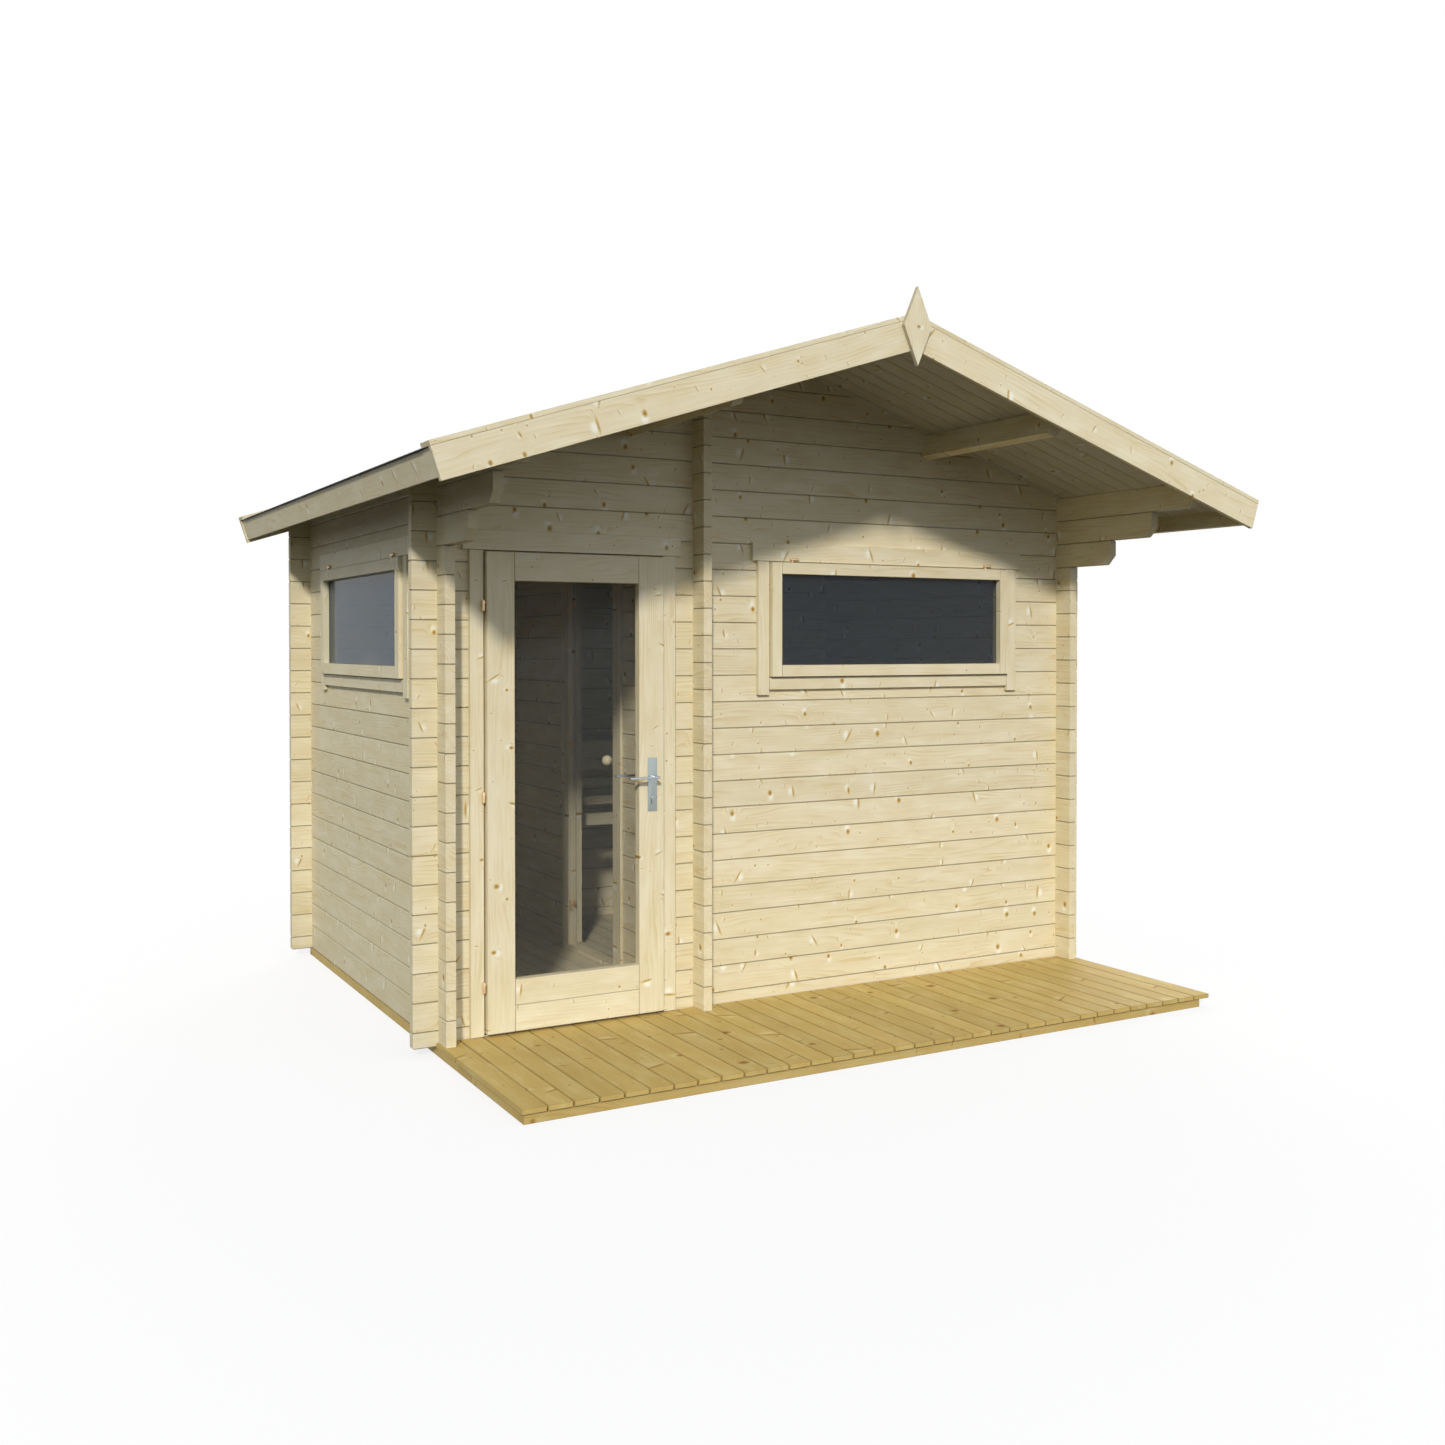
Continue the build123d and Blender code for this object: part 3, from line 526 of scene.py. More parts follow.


# Painted shade: all colours of the roof's spruce are darkened and greyed for the shade under it.
roof_painted_shade = (0.66, 0.70, 0.86)
SHADED_ROOF_SPRUCE = dict(SPRUCE)
for key, value in SPRUCE.items():
    if isinstance(value, tuple):
        SHADED_ROOF_SPRUCE[key] = tuple(c * t for c, t in zip(value, roof_painted_shade))
roof_wood = counted_material("roof_boards", SHADED_ROOF_SPRUCE, "s", "y", matchboard_pitch, roof_low.y, 29.0,
                             slope=down_slope)
cover(roof_wood, "roof_boards_left", "roof_boards_right")
print("ridge at", round(ridge.z, 4))

# %% [markdown]
# ## Boards with their own grain
# Frames, casings, sashes and trims are separate planed boards, and their joints show: a stile runs
# past a rail, and the grain turns at the joint. One solid can't show that, so these boards are made
# one by one. Each is an outline pulled to its thickness, with its sharp edges taken off, and it
# keeps its own u, v and w at every point.

# %% An outline pulled to its thickness
def rectangle(length, width):
    return [(0, 0), (length, 0), (length, width), (0, width)]


def axes_at(origin, u, v):
    """The place of a part whose x and y axes point along u and v."""
    return Matrix.Translation(Vector(origin)) @ Matrix((u, v, u.cross(v))).transposed().to_4x4()


def pulled(outline, thickness, edge, segments=2):
    """A mesh in work: the outline in x and y, pulled up z, with its arrises rounded by edge."""
    work = bmesh.new()
    base = work.faces.new([work.verts.new((u, v, 0)) for u, v in outline])
    lifted = bmesh.ops.extrude_face_region(work, geom=[base])["geom"]
    top = [g for g in lifted if isinstance(g, bmesh.types.BMVert)]
    bmesh.ops.translate(work, verts=top, vec=(0, 0, thickness))
    bmesh.ops.recalc_face_normals(work, faces=work.faces)
    bmesh.ops.bevel(work, geom=work.edges[:], offset=edge, segments=segments, affect="EDGES",
                    profile=0.5)
    work.verts.ensure_lookup_table()
    return work


def link_piece(name, mesh, material, body, stands_for):
    """Put a finished mesh in the scene, with its material, body and the nodes it replaces."""
    mesh.materials.append(material)
    piece = bpy.data.objects.new(name, mesh)
    bpy.context.scene.collection.objects.link(piece)
    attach(piece, body)
    if stands_for:
        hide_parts(*stands_for)
    print(name, len(mesh.polygons), "faces")

# %% [markdown]
# A joiner marks each board before it is built in. This workbench does the same: it keeps every
# board's grain, tone, ends and arrises as attributes of the mesh, where the wood's material finds
# them.

# %% A workbench for boards
seam = 0.0004
board_edge = 0.0015


class Joinery:
    """Gathers boards into one mesh object."""

    def __init__(self, name, material, seed):
        self.name = name
        self.material = material
        self.random = random.Random(seed)
        self.points, self.faces, self.grain = [], [], []
        self.tone, self.end, self.arris = [], [], []

    def board(self, outline, thickness, place, edge=board_edge):
        """A board from its outline in u and v. place takes u, v and w to the cabin's frame."""
        work = pulled(outline, thickness, edge)
        start = Vector([self.random.uniform(0, 30) for _ in range(3)])
        tone = self.random.random()
        first = len(self.points)
        for vert in work.verts:
            self.points.append(place @ vert.co)
            self.grain.append(vert.co + start)
            self.tone.append(tone)
        for face in work.faces:
            self.faces.append([first + vert.index for vert in face.verts])
            self.end.append(1.0 if abs(face.normal.x) > 0.8 else 0.0)
            # Arris faces are marked here so that the material can paint shade on them.
            self.arris.append(1.0 if max(map(abs, face.normal)) < 0.99 else 0.0)
        work.free()

    def box(self, low, high, along, wide, edge=board_edge):
        """A board between two corners, a hair smaller all round so that its seams show. along is
        its grain's axis, wide the axis of its wide face."""
        u, v = AXES[along], AXES[wide]
        w = u.cross(v)
        low, high = Vector(low) + Vector((seam,) * 3), Vector(high) - Vector((seam,) * 3)
        size = high - low
        backward = w.dot(Vector((1, 1, 1))) < 0
        origin = low + w * size.dot(w) if backward else low
        self.board(rectangle(size.dot(u), size.dot(v)), abs(size.dot(w)), axes_at(origin, u, v), edge)

    def done(self, slot, body, *stands_for):
        """Make the object, and say what it stands for and which body it moves with."""
        mesh = bpy.data.meshes.new(self.name)
        mesh.from_pydata(self.points, [], self.faces)
        mesh.attributes.new("grain", "FLOAT_VECTOR", "POINT").data.foreach_set(
            "vector", [c for point in self.grain for c in point])
        for name, domain, values in (("tone", "POINT", self.tone), ("end", "FACE", self.end),
                                     ("arris", "FACE", self.arris)):
            mesh.attributes.new(name, "FLOAT", domain).data.foreach_set("value", values)
        mesh.update()
        link_piece(self.name, mesh, self.material, body, stands_for)


print("seams of", 2 * seam * 1000, "mm")

# %% [markdown]
# Some nodes of the construction hold several solids, such as the boards of the deck. A new board has
# to fill the box of its own solid, so each node's mesh is parted into the pieces that hang together.

# %% The corner boxes of a node's solids
def islands(node):
    """The corner boxes of a node's separate solids, in order from left to right."""
    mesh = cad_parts[node].data
    parent = list(range(len(mesh.vertices)))
    spot = {}

    def root(i):
        while parent[i] != i:
            parent[i] = parent[parent[i]]
            i = parent[i]
        return i

    for vert in mesh.vertices:
        key = tuple(round(c, 5) for c in vert.co)
        parent[vert.index] = spot.setdefault(key, vert.index)
    for edge in mesh.edges:
        a, b = (root(i) for i in edge.vertices)
        parent[a] = b
    groups = {}
    for vert in mesh.vertices:
        groups.setdefault(root(vert.index), []).append(vert.co)
    boxes = []
    for points in groups.values():
        low = Vector([min(p[i] for p in points) for i in range(3)])
        high = Vector([max(p[i] for p in points) for i in range(3)])
        boxes.append((low, high))
    return sorted(boxes, key=lambda b: (round(b[0].x, 4), round(b[0].y, 4), round(b[0].z, 4)))


print("terrace boards", len(islands("terrace_deck")))

# %% [markdown]
# ## Terrace and foundation
# The deck and what it stands on are pressure-treated timber, warmer and darker than the spruce. The
# deck boards are already separate, so each takes the box of its solid. The joists butt against each
# other, so they are laid here as the carpenter lays them, with two splices in each side joist.

# %% Terrace
deck_edge = 0.002
deck = Joinery("terrace_boards", treated_boards, 3)
for low, high in islands("terrace_deck"):
    deck.box(low, high, "y", "x", deck_edge)
deck.done("treated_pine", "cabin", "terrace_deck")

joist_width = 0.045
splices = (0.522, 0.672)
low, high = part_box("terrace_frame")
joists = Joinery("terrace_joists", treated_boards, 4)
inner_left, inner_right = low.x + joist_width, high.x - joist_width
middle = (low.y + high.y) / 2
near, far = middle - joist_width / 2, middle + joist_width / 2
joists.box((low.x, low.y, low.z), (high.x, low.y + joist_width, high.z), "x", "z")
joists.box((inner_left, near, low.z), (inner_right, far, high.z), "x", "z")
joists.box((inner_left, high.y - joist_width, low.z), (inner_right, high.y, high.z), "x", "z")
side_cuts = (low.y + joist_width, low.y + splices[0], low.y + splices[1], high.y)
for x0, x1 in ((low.x, inner_left), (inner_right, high.x)):
    for y0, y1 in zip(side_cuts, side_cuts[1:]):
        joists.box((x0, y0, low.z), (x1, y1, high.z), "y", "z")
joists.done("treated_pine", "cabin", "terrace_frame")

# %% [markdown]
# The foundation is a ring of wider timbers, with one under the partition. Joists between them carry
# the floor.

# %% Foundation
beam_width = 0.070
joist_count = 3
low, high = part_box("foundation_beams")
partition_low, partition_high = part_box("partition_front")
spread = (beam_width - (partition_high.x - partition_low.x)) / 2
inner_left, inner_right = low.x + beam_width, high.x - beam_width
inner_front, inner_back = low.y + beam_width, high.y - beam_width
under_left, under_right = partition_low.x - spread, partition_high.x + spread
beams = Joinery("foundation_timbers", treated_boards, 5)
beams.box((low.x, low.y, low.z), (inner_left, high.y, high.z), "y", "z")
beams.box((inner_right, low.y, low.z), (high.x, high.y, high.z), "y", "z")
beams.box((inner_left, low.y, low.z), (inner_right, inner_front, high.z), "x", "z")
beams.box((inner_left, inner_back, low.z), (inner_right, high.y, high.z), "x", "z")
beams.box((under_left, inner_front, low.z), (under_right, inner_back, high.z), "y", "z")
for k in range(1, joist_count + 1):
    y = inner_front + (inner_back - inner_front) * k / (joist_count + 1)
    for x0, x1 in ((inner_left, under_left), (under_right, inner_right)):
        beams.box((x0, y - joist_width / 2, low.z), (x1, y + joist_width / 2, high.z), "x", "z")
beams.done("treated_pine", "cabin", "foundation_beams")

# %% [markdown]
# ## Roof trims
# Barge boards follow the gable's slope and meet in a mitre under the finial. Their grain runs with
# the slope, so they are outlined in slope axes: s down the roof and n square to it.

# %% Boards in slope axes
def slope_axes(side):
    """s down the roof and n square to it, on the left (-1) or right (1) slope."""
    s = Vector((side * math.cos(roof_pitch), 0, -math.sin(roof_pitch)))
    n = Vector((side * math.sin(roof_pitch), 0, math.cos(roof_pitch)))
    return s, n


def upright_board(work, side, y0, y1, n0, n1, end):
    """A board standing in the gable's plane along one slope, mitred at the ridge."""
    s, n = slope_axes(side)
    origin = ridge + Y_AXIS * (y1 if s.cross(n).y < 0 else y0)
    lean = math.tan(roof_pitch)
    work.board([(-n0 * lean, n0), (end, n0), (end, n1), (-n1 * lean, n1)], y1 - y0,
               axes_at(origin, s, n))


def lengthwise_board(work, side, y, down, up, thickness, outline, edge):
    """A board from front to back under one slope, with its outline in length and height."""
    s, n = slope_axes(side)
    start = down if Y_AXIS.cross(n).dot(s) > 0 else down + thickness
    work.board(outline, thickness, axes_at(ridge + s * start + n * up + Y_AXIS * y, Y_AXIS, n), edge)


roof_top = roof_board_thickness + felt_thickness
print("roof top", roof_top, "m above the boards' underside")

# %% [markdown]
# A cover strip lies on each barge board and laps over the felt's edge, so that wind can't lift it. A
# fascia closes the board ends along each eave.

# %% Barge boards, cover strips and fascias
barge_height = 0.117
cover_thickness = 0.018
fascia_thickness = 0.018
fascia_height = 0.100
for end_name, seed in (("front", 7), ("rear", 8)):
    low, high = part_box(end_name + "_barge_boards")
    reach = (high.x - roof_top * math.sin(roof_pitch)) / math.cos(roof_pitch)
    barges = Joinery(end_name + "_barges", spruce_boards, seed)
    for side in (-1, 1):
        upright_board(barges, side, low.y, high.y, roof_top - barge_height, roof_top, reach)
    barges.done("raw_spruce", "cabin", end_name + "_barge_boards")
    low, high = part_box(end_name + "_cover_strips")
    strips = Joinery(end_name + "_covers", spruce_boards, seed + 10)
    for side in (-1, 1):
        upright_board(strips, side, low.y, high.y, roof_top, roof_top + cover_thickness, reach)
    strips.done("raw_spruce", "cabin", end_name + "_cover_strips")

low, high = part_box("eave_fascias")
fascia_end = (high.x - roof_board_thickness * math.sin(roof_pitch)) / math.cos(roof_pitch)
fascias = Joinery("eave_boards", spruce_boards, 21)
for side in (-1, 1):
    lengthwise_board(fascias, side, low.y, fascia_end - fascia_thickness,
                     roof_board_thickness - fascia_height, fascia_thickness,
                     rectangle(high.y - low.y, fascia_height), board_edge)
fascias.done("raw_spruce", "cabin", "eave_fascias")

# %% [markdown]
# Two purlins carry the roof boards over the terrace. Their front ends are cut back at a slant below.
# The finial is a diamond that covers the mitre of the front barge boards.

# %% Purlins and finial
purlin_width = 0.050
purlin_height = 0.108
purlin_place = 0.798
purlin_chamfer = 0.044
purlin_edge = 0.003
low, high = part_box("purlins")
length = high.y - low.y
outline = [(purlin_chamfer, 0), (length, 0), (length, purlin_height), (0, purlin_height),
           (0, purlin_chamfer)]
purlins = Joinery("roof_purlins", spruce_boards, 22)
for side in (-1, 1):
    lengthwise_board(purlins, side, low.y, purlin_place, -purlin_height, purlin_width, outline,
                     purlin_edge)
purlins.done("raw_spruce", "cabin", "purlins")

low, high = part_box("finial")
tall, half = high.z - low.z, (high.x - low.x) / 2
finial = Joinery("gable_finial", spruce_boards, 23)
finial.board([(0, 0), (tall / 2, half), (tall, 0), (tall / 2, -half)], high.y - low.y,
             axes_at(((low.x + high.x) / 2, low.y, low.z), Z_AXIS, X_AXIS))
finial.done("raw_spruce", "cabin", "finial")

# %% [markdown]
# ## A second workbench, for what isn't a board
# Felt, hinges and handles have no grain. Some are a flat outline pulled to a thickness, others are
# turned about an axis as on a lathe. Modifiers could do both, but two short functions keep control
# of every ring, and the parts of one object are gathered into one mesh with smooth shading.

# %% A workbench for flat and turned parts
sharp_angle = math.radians(38)


class Workbench:
    """Gathers turned and flat parts into one smooth-shaded mesh object."""

    def __init__(self, name, material):
        self.name = name
        self.material = material
        self.work = bmesh.new()

    def take(self, part, place):
        """Add a part in work, moved to its place."""
        bmesh.ops.transform(part, matrix=place, verts=part.verts)
        mesh = bpy.data.meshes.new("part")
        part.to_mesh(mesh)
        part.free()
        self.work.from_mesh(mesh)
        bpy.data.meshes.remove(mesh)

    def flat(self, outline, thickness, place, edge, segments=3):
        self.take(pulled(outline, thickness, edge, segments), place)

    def turned(self, profile, place, steps=28):
        """A form turned on a lathe about z: profile is (radius, height) from end to end."""
        part = bmesh.new()
        rings = []
        for radius, height in profile:
            count = steps if radius > 0 else 1
            turns = [2 * math.pi * k / steps for k in range(count)]
            rings.append([part.verts.new((radius * math.cos(t), radius * math.sin(t), height))
                          for t in turns])
        for below, above in zip(rings, rings[1:]):
            for here in range(steps):
                after = (here + 1) % steps
                ring = [below[here % len(below)], below[after % len(below)],
                        above[after % len(above)], above[here % len(above)]]
                part.faces.new(list(dict.fromkeys(ring)))
        bmesh.ops.recalc_face_normals(part, faces=part.faces)
        self.take(part, place)

    def done(self, slot, body, *stands_for):
        mesh = bpy.data.meshes.new(self.name)
        self.work.to_mesh(mesh)
        self.work.free()
        mesh.shade_smooth()
        mesh.set_sharp_from_angle(angle=sharp_angle)
        link_piece(self.name, mesh, self.material, body, stands_for)


def rod(radius, length):
    """The profile of a plain rod."""
    return [(0.0, 0.0), (radius, 0.0), (radius, length), (0.0, length)]


def standing(point, up=Z_AXIS):
    """The place of a part whose z axis points along up."""
    turn = Z_AXIS.rotation_difference(up).to_matrix().to_4x4()
    return Matrix.Translation(Vector(point)) @ turn


print("second workbench ready")

# %% [markdown]
# ## Roofing felt
# The felt shows as a thin black edge from the ground and as the whole roof from above. It is
# bitumen with mineral grains, so it needs a sandy bump and a colour that wavers between charcoal and
# black. It comes in rolls. The courses are laid from the eave up, each over the one below, and a
# narrow strip is folded over the ridge. A drawn line could stand for each lap, but the step is what
# catches the light, so each course is a thin sheet that climbs over the next.

# %% Felt
felt_sheet = 0.003
felt_courses = 3
felt_lap = 0.080
felt_end = (felt_high.x - felt_low.x - roof_top * math.sin(roof_pitch)) / math.cos(roof_pitch)
course_width = felt_end / felt_courses


def make_felt():
    tree = Tree("roofing_felt")
    place = tree.add("ShaderNodeTexCoord", {}, {}, "Object")
    parts = dict(zip("xyz", tree.split(place)))
    side = parts["x"].sign()
    parts.update(down_slope(parts))
    course = ((parts["s"] - felt_lap) / course_width).floor()
    luck = tree.add("ShaderNodeTexWhiteNoise", {"noise_dimensions": "1D"},
                    {"W": course + side * 7.0 + 0.5})
    grains = tree.noise(place, 3.0, 900.0)
    cloud = tree.noise(place, 3.0, 2.2)
    colour = tree.mix(tree.between(grains, 0.42, 0.62), (0.012, 0.012, 0.013), (0.060, 0.060, 0.062))
    colour = tree.tint(colour, 0.55 + 0.5 * cloud + 0.3 * luck)
    return tree.finish(tree.add("ShaderNodeBsdfPrincipled", {}, {
        "Base Color": colour, "Roughness": 0.82 + 0.12 * grains, "Specular IOR Level": 0.3,
        "Normal": tree.bump(grains, 0.6, 0.002)}))


felt = make_felt()
cover(felt, "roof_felt_left", "roof_felt_right")
print("felt in courses of", round(course_width, 3), "m")

# %% [markdown]
# The lowest course stands a little past the fascia and sags, so that rain drips clear of the wood.
# Each sheet is one outline across the roof, pulled from the rear cover strips to the front ones.

# %% Courses of felt and the strip on the ridge
drip_reach = 0.009
drip_sag = 0.003
climb = 0.012
ridge_strip = 0.170
felt_gap = 0.0003
felt_edge = 0.0008
felt_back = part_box("rear_cover_strips")[0].y
felt_length = felt_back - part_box("front_cover_strips")[1].y
along_roof = axes_at((0, felt_back, 0), X_AXIS, Z_AXIS)


def roof_point(side, down, up):
    """x and z of a point of the roof, down the slope from the ridge and up from the boards."""
    s, n = slope_axes(side)
    point = ridge + s * down + n * up
    return point.x, point.z


def sheet(side, line):
    """The outline of a thin sheet whose underside follows line."""
    over = [(down, up + felt_sheet) for down, up in reversed(line)]
    return [roof_point(side, down, up) for down, up in line + over]


felt_work = Workbench("felt_courses", felt)
base = roof_top + felt_gap
raised = base + felt_sheet + felt_gap
for side in (-1, 1):
    for k in range(felt_courses):
        start, end = k * course_width, (k + 1) * course_width
        line = [(start, base), (end - climb, base), (end, raised), (end + felt_lap, raised)]
        if k == felt_courses - 1:
            line = [(start, base), (felt_end, base), (felt_end + drip_reach, base - drip_sag)]
        felt_work.flat(sheet(side, line), felt_length, along_roof, felt_edge, 2)
# The strip is one sheet that is folded over the ridge.
strip = [(0.0, raised), (ridge_strip, raised)]
left, right = sheet(-1, strip), sheet(1, strip)
fold_low = (0, ridge.z + raised / math.cos(roof_pitch))
fold_high = (0, ridge.z + (raised + felt_sheet) / math.cos(roof_pitch))
felt_work.flat([left[1], fold_low, right[1], right[2], fold_high, left[2]], felt_length, along_roof,
               felt_edge, 2)
felt_work.done("roofing_felt", "cabin")

# %% [markdown]
# ## Doors and windows
# All joinery is planed spruce, a touch smoother and cleaner than the logs. Stiles run the full
# height and rails fit between them.

# %% A frame of four boards
def ring_of_boards(work, low, high, width, run):
    """Two uprights at full height, and a head and a sill between them along run, all of one width."""
    i = "xyz".index(run)
    inner_low, inner_high = Vector(low), Vector(high)
    inner_low[i] += width
    inner_high[i] -= width
    left_high, right_low = Vector(high), Vector(low)
    left_high[i], right_low[i] = inner_low[i], inner_high[i]
    work.box(low, left_high, "z", run)
    work.box(right_low, high, "z", run)
    work.box(inner_low, (inner_high.x, inner_high.y, low.z + width), run, "z")
    work.box((inner_low.x, inner_low.y, high.z - width), inner_high, run, "z")


print("frames of four boards ready")

# %% [markdown]
# The outer door's leaf is a frame round one tall pane. Its bottom rail is made of two boards, whose
# seam shows, and a rail sits between the stiles at the top.

# %% Outer door leaf
low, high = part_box("door_leaf")
glass_low, glass_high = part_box("door_glass")
leaf = Joinery("door_leaf_boards", joinery_boards, 31)
leaf.box(low, (glass_low.x, high.y, high.z), "z", "x")
leaf.box((glass_high.x, low.y, low.z), high, "z", "x")
leaf.box((glass_low.x, low.y, glass_high.z), (glass_high.x, high.y, high.z), "x", "z")
rail_split = (low.z + glass_low.z) / 2
leaf.box((glass_low.x, low.y, low.z), (glass_high.x, high.y, rail_split), "x", "z")
leaf.box((glass_low.x, low.y, rail_split), (glass_high.x, high.y, glass_low.z), "x", "z")
leaf.done("joinery_spruce", "door", "door_leaf")

# %% [markdown]
# Outside, three flat casings cover the gap between wall and frame. Behind them the jambs line the
# opening through the wall's depth, and a thin stop runs round, which the leaf closes against.

# %% Outer door frame and casings
wall_front, wall_back = (corner.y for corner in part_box("front_wall_left"))
casing_width = 0.058
deck_clearance = 0.001
door_gap = 0.006
jamb = 0.033
stop = 0.020
sill_height = 0.020
head_casing = 0.080
low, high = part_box("door_frame")
leaf_low, leaf_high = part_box("door_leaf")
opening_low = Vector((leaf_low.x - door_gap, 0, 0))
opening_high = Vector((leaf_high.x + door_gap, 0, leaf_high.z + door_gap))
surround = Joinery("door_surround", joinery_boards, 32)
casing_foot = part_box("terrace_deck")[1].z + deck_clearance
for x in (opening_low.x - casing_width, opening_high.x):
    surround.box((x, low.y, casing_foot), (x + casing_width, wall_front, opening_high.z), "z", "x")
surround.box((low.x, low.y, opening_high.z), (high.x, wall_front, high.z), "x", "z")
for x in (opening_low.x - jamb, opening_high.x):
    surround.box((x, wall_front, low.z), (x + jamb, wall_back, opening_high.z), "z", "y")
surround.box((opening_low.x - jamb, wall_front, opening_high.z),
             (opening_high.x + jamb, wall_back, opening_high.z + jamb), "x", "y")
surround.box((opening_low.x, wall_front, low.z),
             (opening_high.x, wall_back, low.z + sill_height), "x", "y")
stop_front = leaf_high.y + door_gap
ring_of_boards(surround, Vector((opening_low.x, stop_front, low.z + sill_height)),
               Vector((opening_high.x, wall_back, opening_high.z)), stop, "x")
surround.done("joinery_spruce", "cabin", "door_frame")
print("door opening", round(opening_high.x - opening_low.x, 3), "m")

# %% [markdown]
# Both windows are long and low and hang from the top. Each has a sash, a lining in the wall, and
# casings of which the head laps over the uprights. A narrow board closes the gap under the sash.

# %% Windows
window_rail = 0.052
window_gap = 0.003
liner = 0.022
sill_drop = 0.003
sill_board = 0.054


def dress_window(name, run, seed):
    """The boards of one window, which lies in a wall along run."""
    i = "xyz".index(run)
    low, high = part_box(name + "_sash")
    sash = Joinery(name + "_sash_boards", joinery_boards, seed)
    ring_of_boards(sash, low, high, window_rail, run)
    sash.done("joinery_spruce", "cabin", name + "_sash")
    box_low, box_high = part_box(name + "_frame")
    lining = Joinery(name + "_lining", joinery_boards, seed + 1)
    ring_of_boards(lining, box_low, box_high, liner, run)
    lining.done("joinery_spruce", "cabin", name + "_frame")

    case_low, case_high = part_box(name + "_casing")
    casing = Joinery(name + "_casing_boards", joinery_boards, seed + 2)

    def casing_board(start, end, foot, top, along, wide):
        first, second = Vector(case_low), Vector(case_high)
        first[i], second[i] = start, end
        first.z, second.z = foot, top
        casing.box(first, second, along, wide)

    head_low = case_high.z - head_casing
    left_edge, right_edge = low[i] - window_gap, high[i] + window_gap
    casing_board(left_edge - casing_width, left_edge, case_low.z, head_low, "z", run)
    casing_board(right_edge, right_edge + casing_width, case_low.z, head_low, "z", run)
    casing_board(case_low[i], case_high[i], head_low, case_high.z, run, "z")
    sill_top = low.z - sill_drop
    casing_board(left_edge, right_edge, sill_top - sill_board, sill_top, run, "z")
    casing.done("joinery_spruce", "cabin", name + "_casing")


dress_window("front_window", "x", 41)
dress_window("side_window", "y", 51)

# %% [markdown]
# The glass door inside hangs in a frame that lines the gap in the partition: jambs, a head and a
# threshold in the opening, casings on both faces, and a thin stop behind the glass.

# %% Inner door frame
low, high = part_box("inner_door_frame")
glass_low, glass_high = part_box("inner_door_glass")
inner_jamb = 0.045
inner_gap = 0.006
inner_sill = 0.042
inner_stop = 0.012
near, far = glass_low.y - inner_gap, glass_high.y + inner_gap
top = glass_high.z + inner_gap
face_left, face_right = partition_low.x, partition_high.x
frame_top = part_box("partition_front")[1].z
floor_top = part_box("floor_boards")[1].z
inner = Joinery("inner_door_surround", joinery_boards, 61)
inner.box((low.x, near - inner_jamb, floor_top), (high.x, near, frame_top), "z", "x")
inner.box((low.x, far, floor_top), (high.x, far + inner_jamb, frame_top), "z", "x")
inner.box((low.x, near, top), (high.x, far, frame_top), "y", "x")
inner.box((low.x, near, floor_top), (high.x, far, low.z + inner_sill), "y", "x")
for x0, x1 in ((low.x, face_left), (face_right, high.x)):
    inner.box((x0, low.y, floor_top), (x1, near - inner_jamb, high.z), "z", "y")
    inner.box((x0, far + inner_jamb, floor_top), (x1, high.y, high.z), "z", "y")
    inner.box((x0, near - inner_jamb, frame_top), (x1, far + inner_jamb, high.z), "y", "z")
ring_of_boards(inner, Vector((glass_high.x + inner_gap, near, low.z + inner_sill)),
               Vector((high.x, far, top)), inner_stop, "y")
inner.done("joinery_spruce", "cabin", "inner_door_frame")

# %% [markdown]
# The sauna bench shows through the glass. Its boards are slats with well rounded arrises, and only
# the frame under them keeps the construction's own mesh.

# %% Sauna bench
slat_edge = 0.003
frame_timber = 0.069
no_joint = 0.0001
bench_boards = Joinery("bench_slats", joinery_boards, 71)
for node in ("bench_front_boards", "bench_seat_boards"):
    wide = "z" if node == "bench_front_boards" else "y"
    for low, high in islands(node):
        bench_boards.box(low, high, "x", wide, slat_edge)
bench_boards.done("bench_aspen", "cabin", "bench_front_boards", "bench_seat_boards")
bench_wood = counted_material("bench_frame", JOINERY, "x", "z", frame_timber, 0.0, 77.0, no_joint)
cover(bench_wood, "bench_frame")

# %% [markdown]
# ## Glass, copper and steel
# The panes look dark and a little blue, because the rooms behind them are dark. Glass that bends
# light would be slow and dark here. A pane that covers part of what is behind it, and keeps its
# gloss, lets the light in as it is. The hinges are bright copper, and the handle is brushed steel.

# %% Glass
pane_setback = 0.001
pane_edge = 0.001
polish = 0.015


def make_glass(name, body, cover_share):
    """A tinted pane: cover_share of each face is body colour and gloss, and the rest is clear."""
    tree = Tree(name)
    return tree.finish(tree.add("ShaderNodeBsdfPrincipled", {}, {
        "Base Color": (*body, 1), "Roughness": polish, "IOR": 1.38, "Alpha": cover_share}))


def pane(name, node, holder, body, material):
    """A pane with ground edges, at the back of the leaf or sash that holds it."""
    low, high = (Vector(corner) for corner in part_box(node))
    size = high - low
    thin = 1 if size.y < size.x else 0
    first, second = (thin + 1) % 3, (thin + 2) % 3
    low[thin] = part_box(holder)[1][thin] - size[thin] - pane_setback
    work = pulled(rectangle(size[first], size[second]), size[thin], pane_edge)
    place = axes_at(low, AXES["xyz"[first]], AXES["xyz"[second]])
    bmesh.ops.transform(work, matrix=place, verts=work.verts)
    mesh = bpy.data.meshes.new(name)
    work.to_mesh(mesh)
    work.free()
    link_piece(name, mesh, material, body, [node])


window_glass = make_glass("window_glass", (0.05, 0.065, 0.078), 0.27)
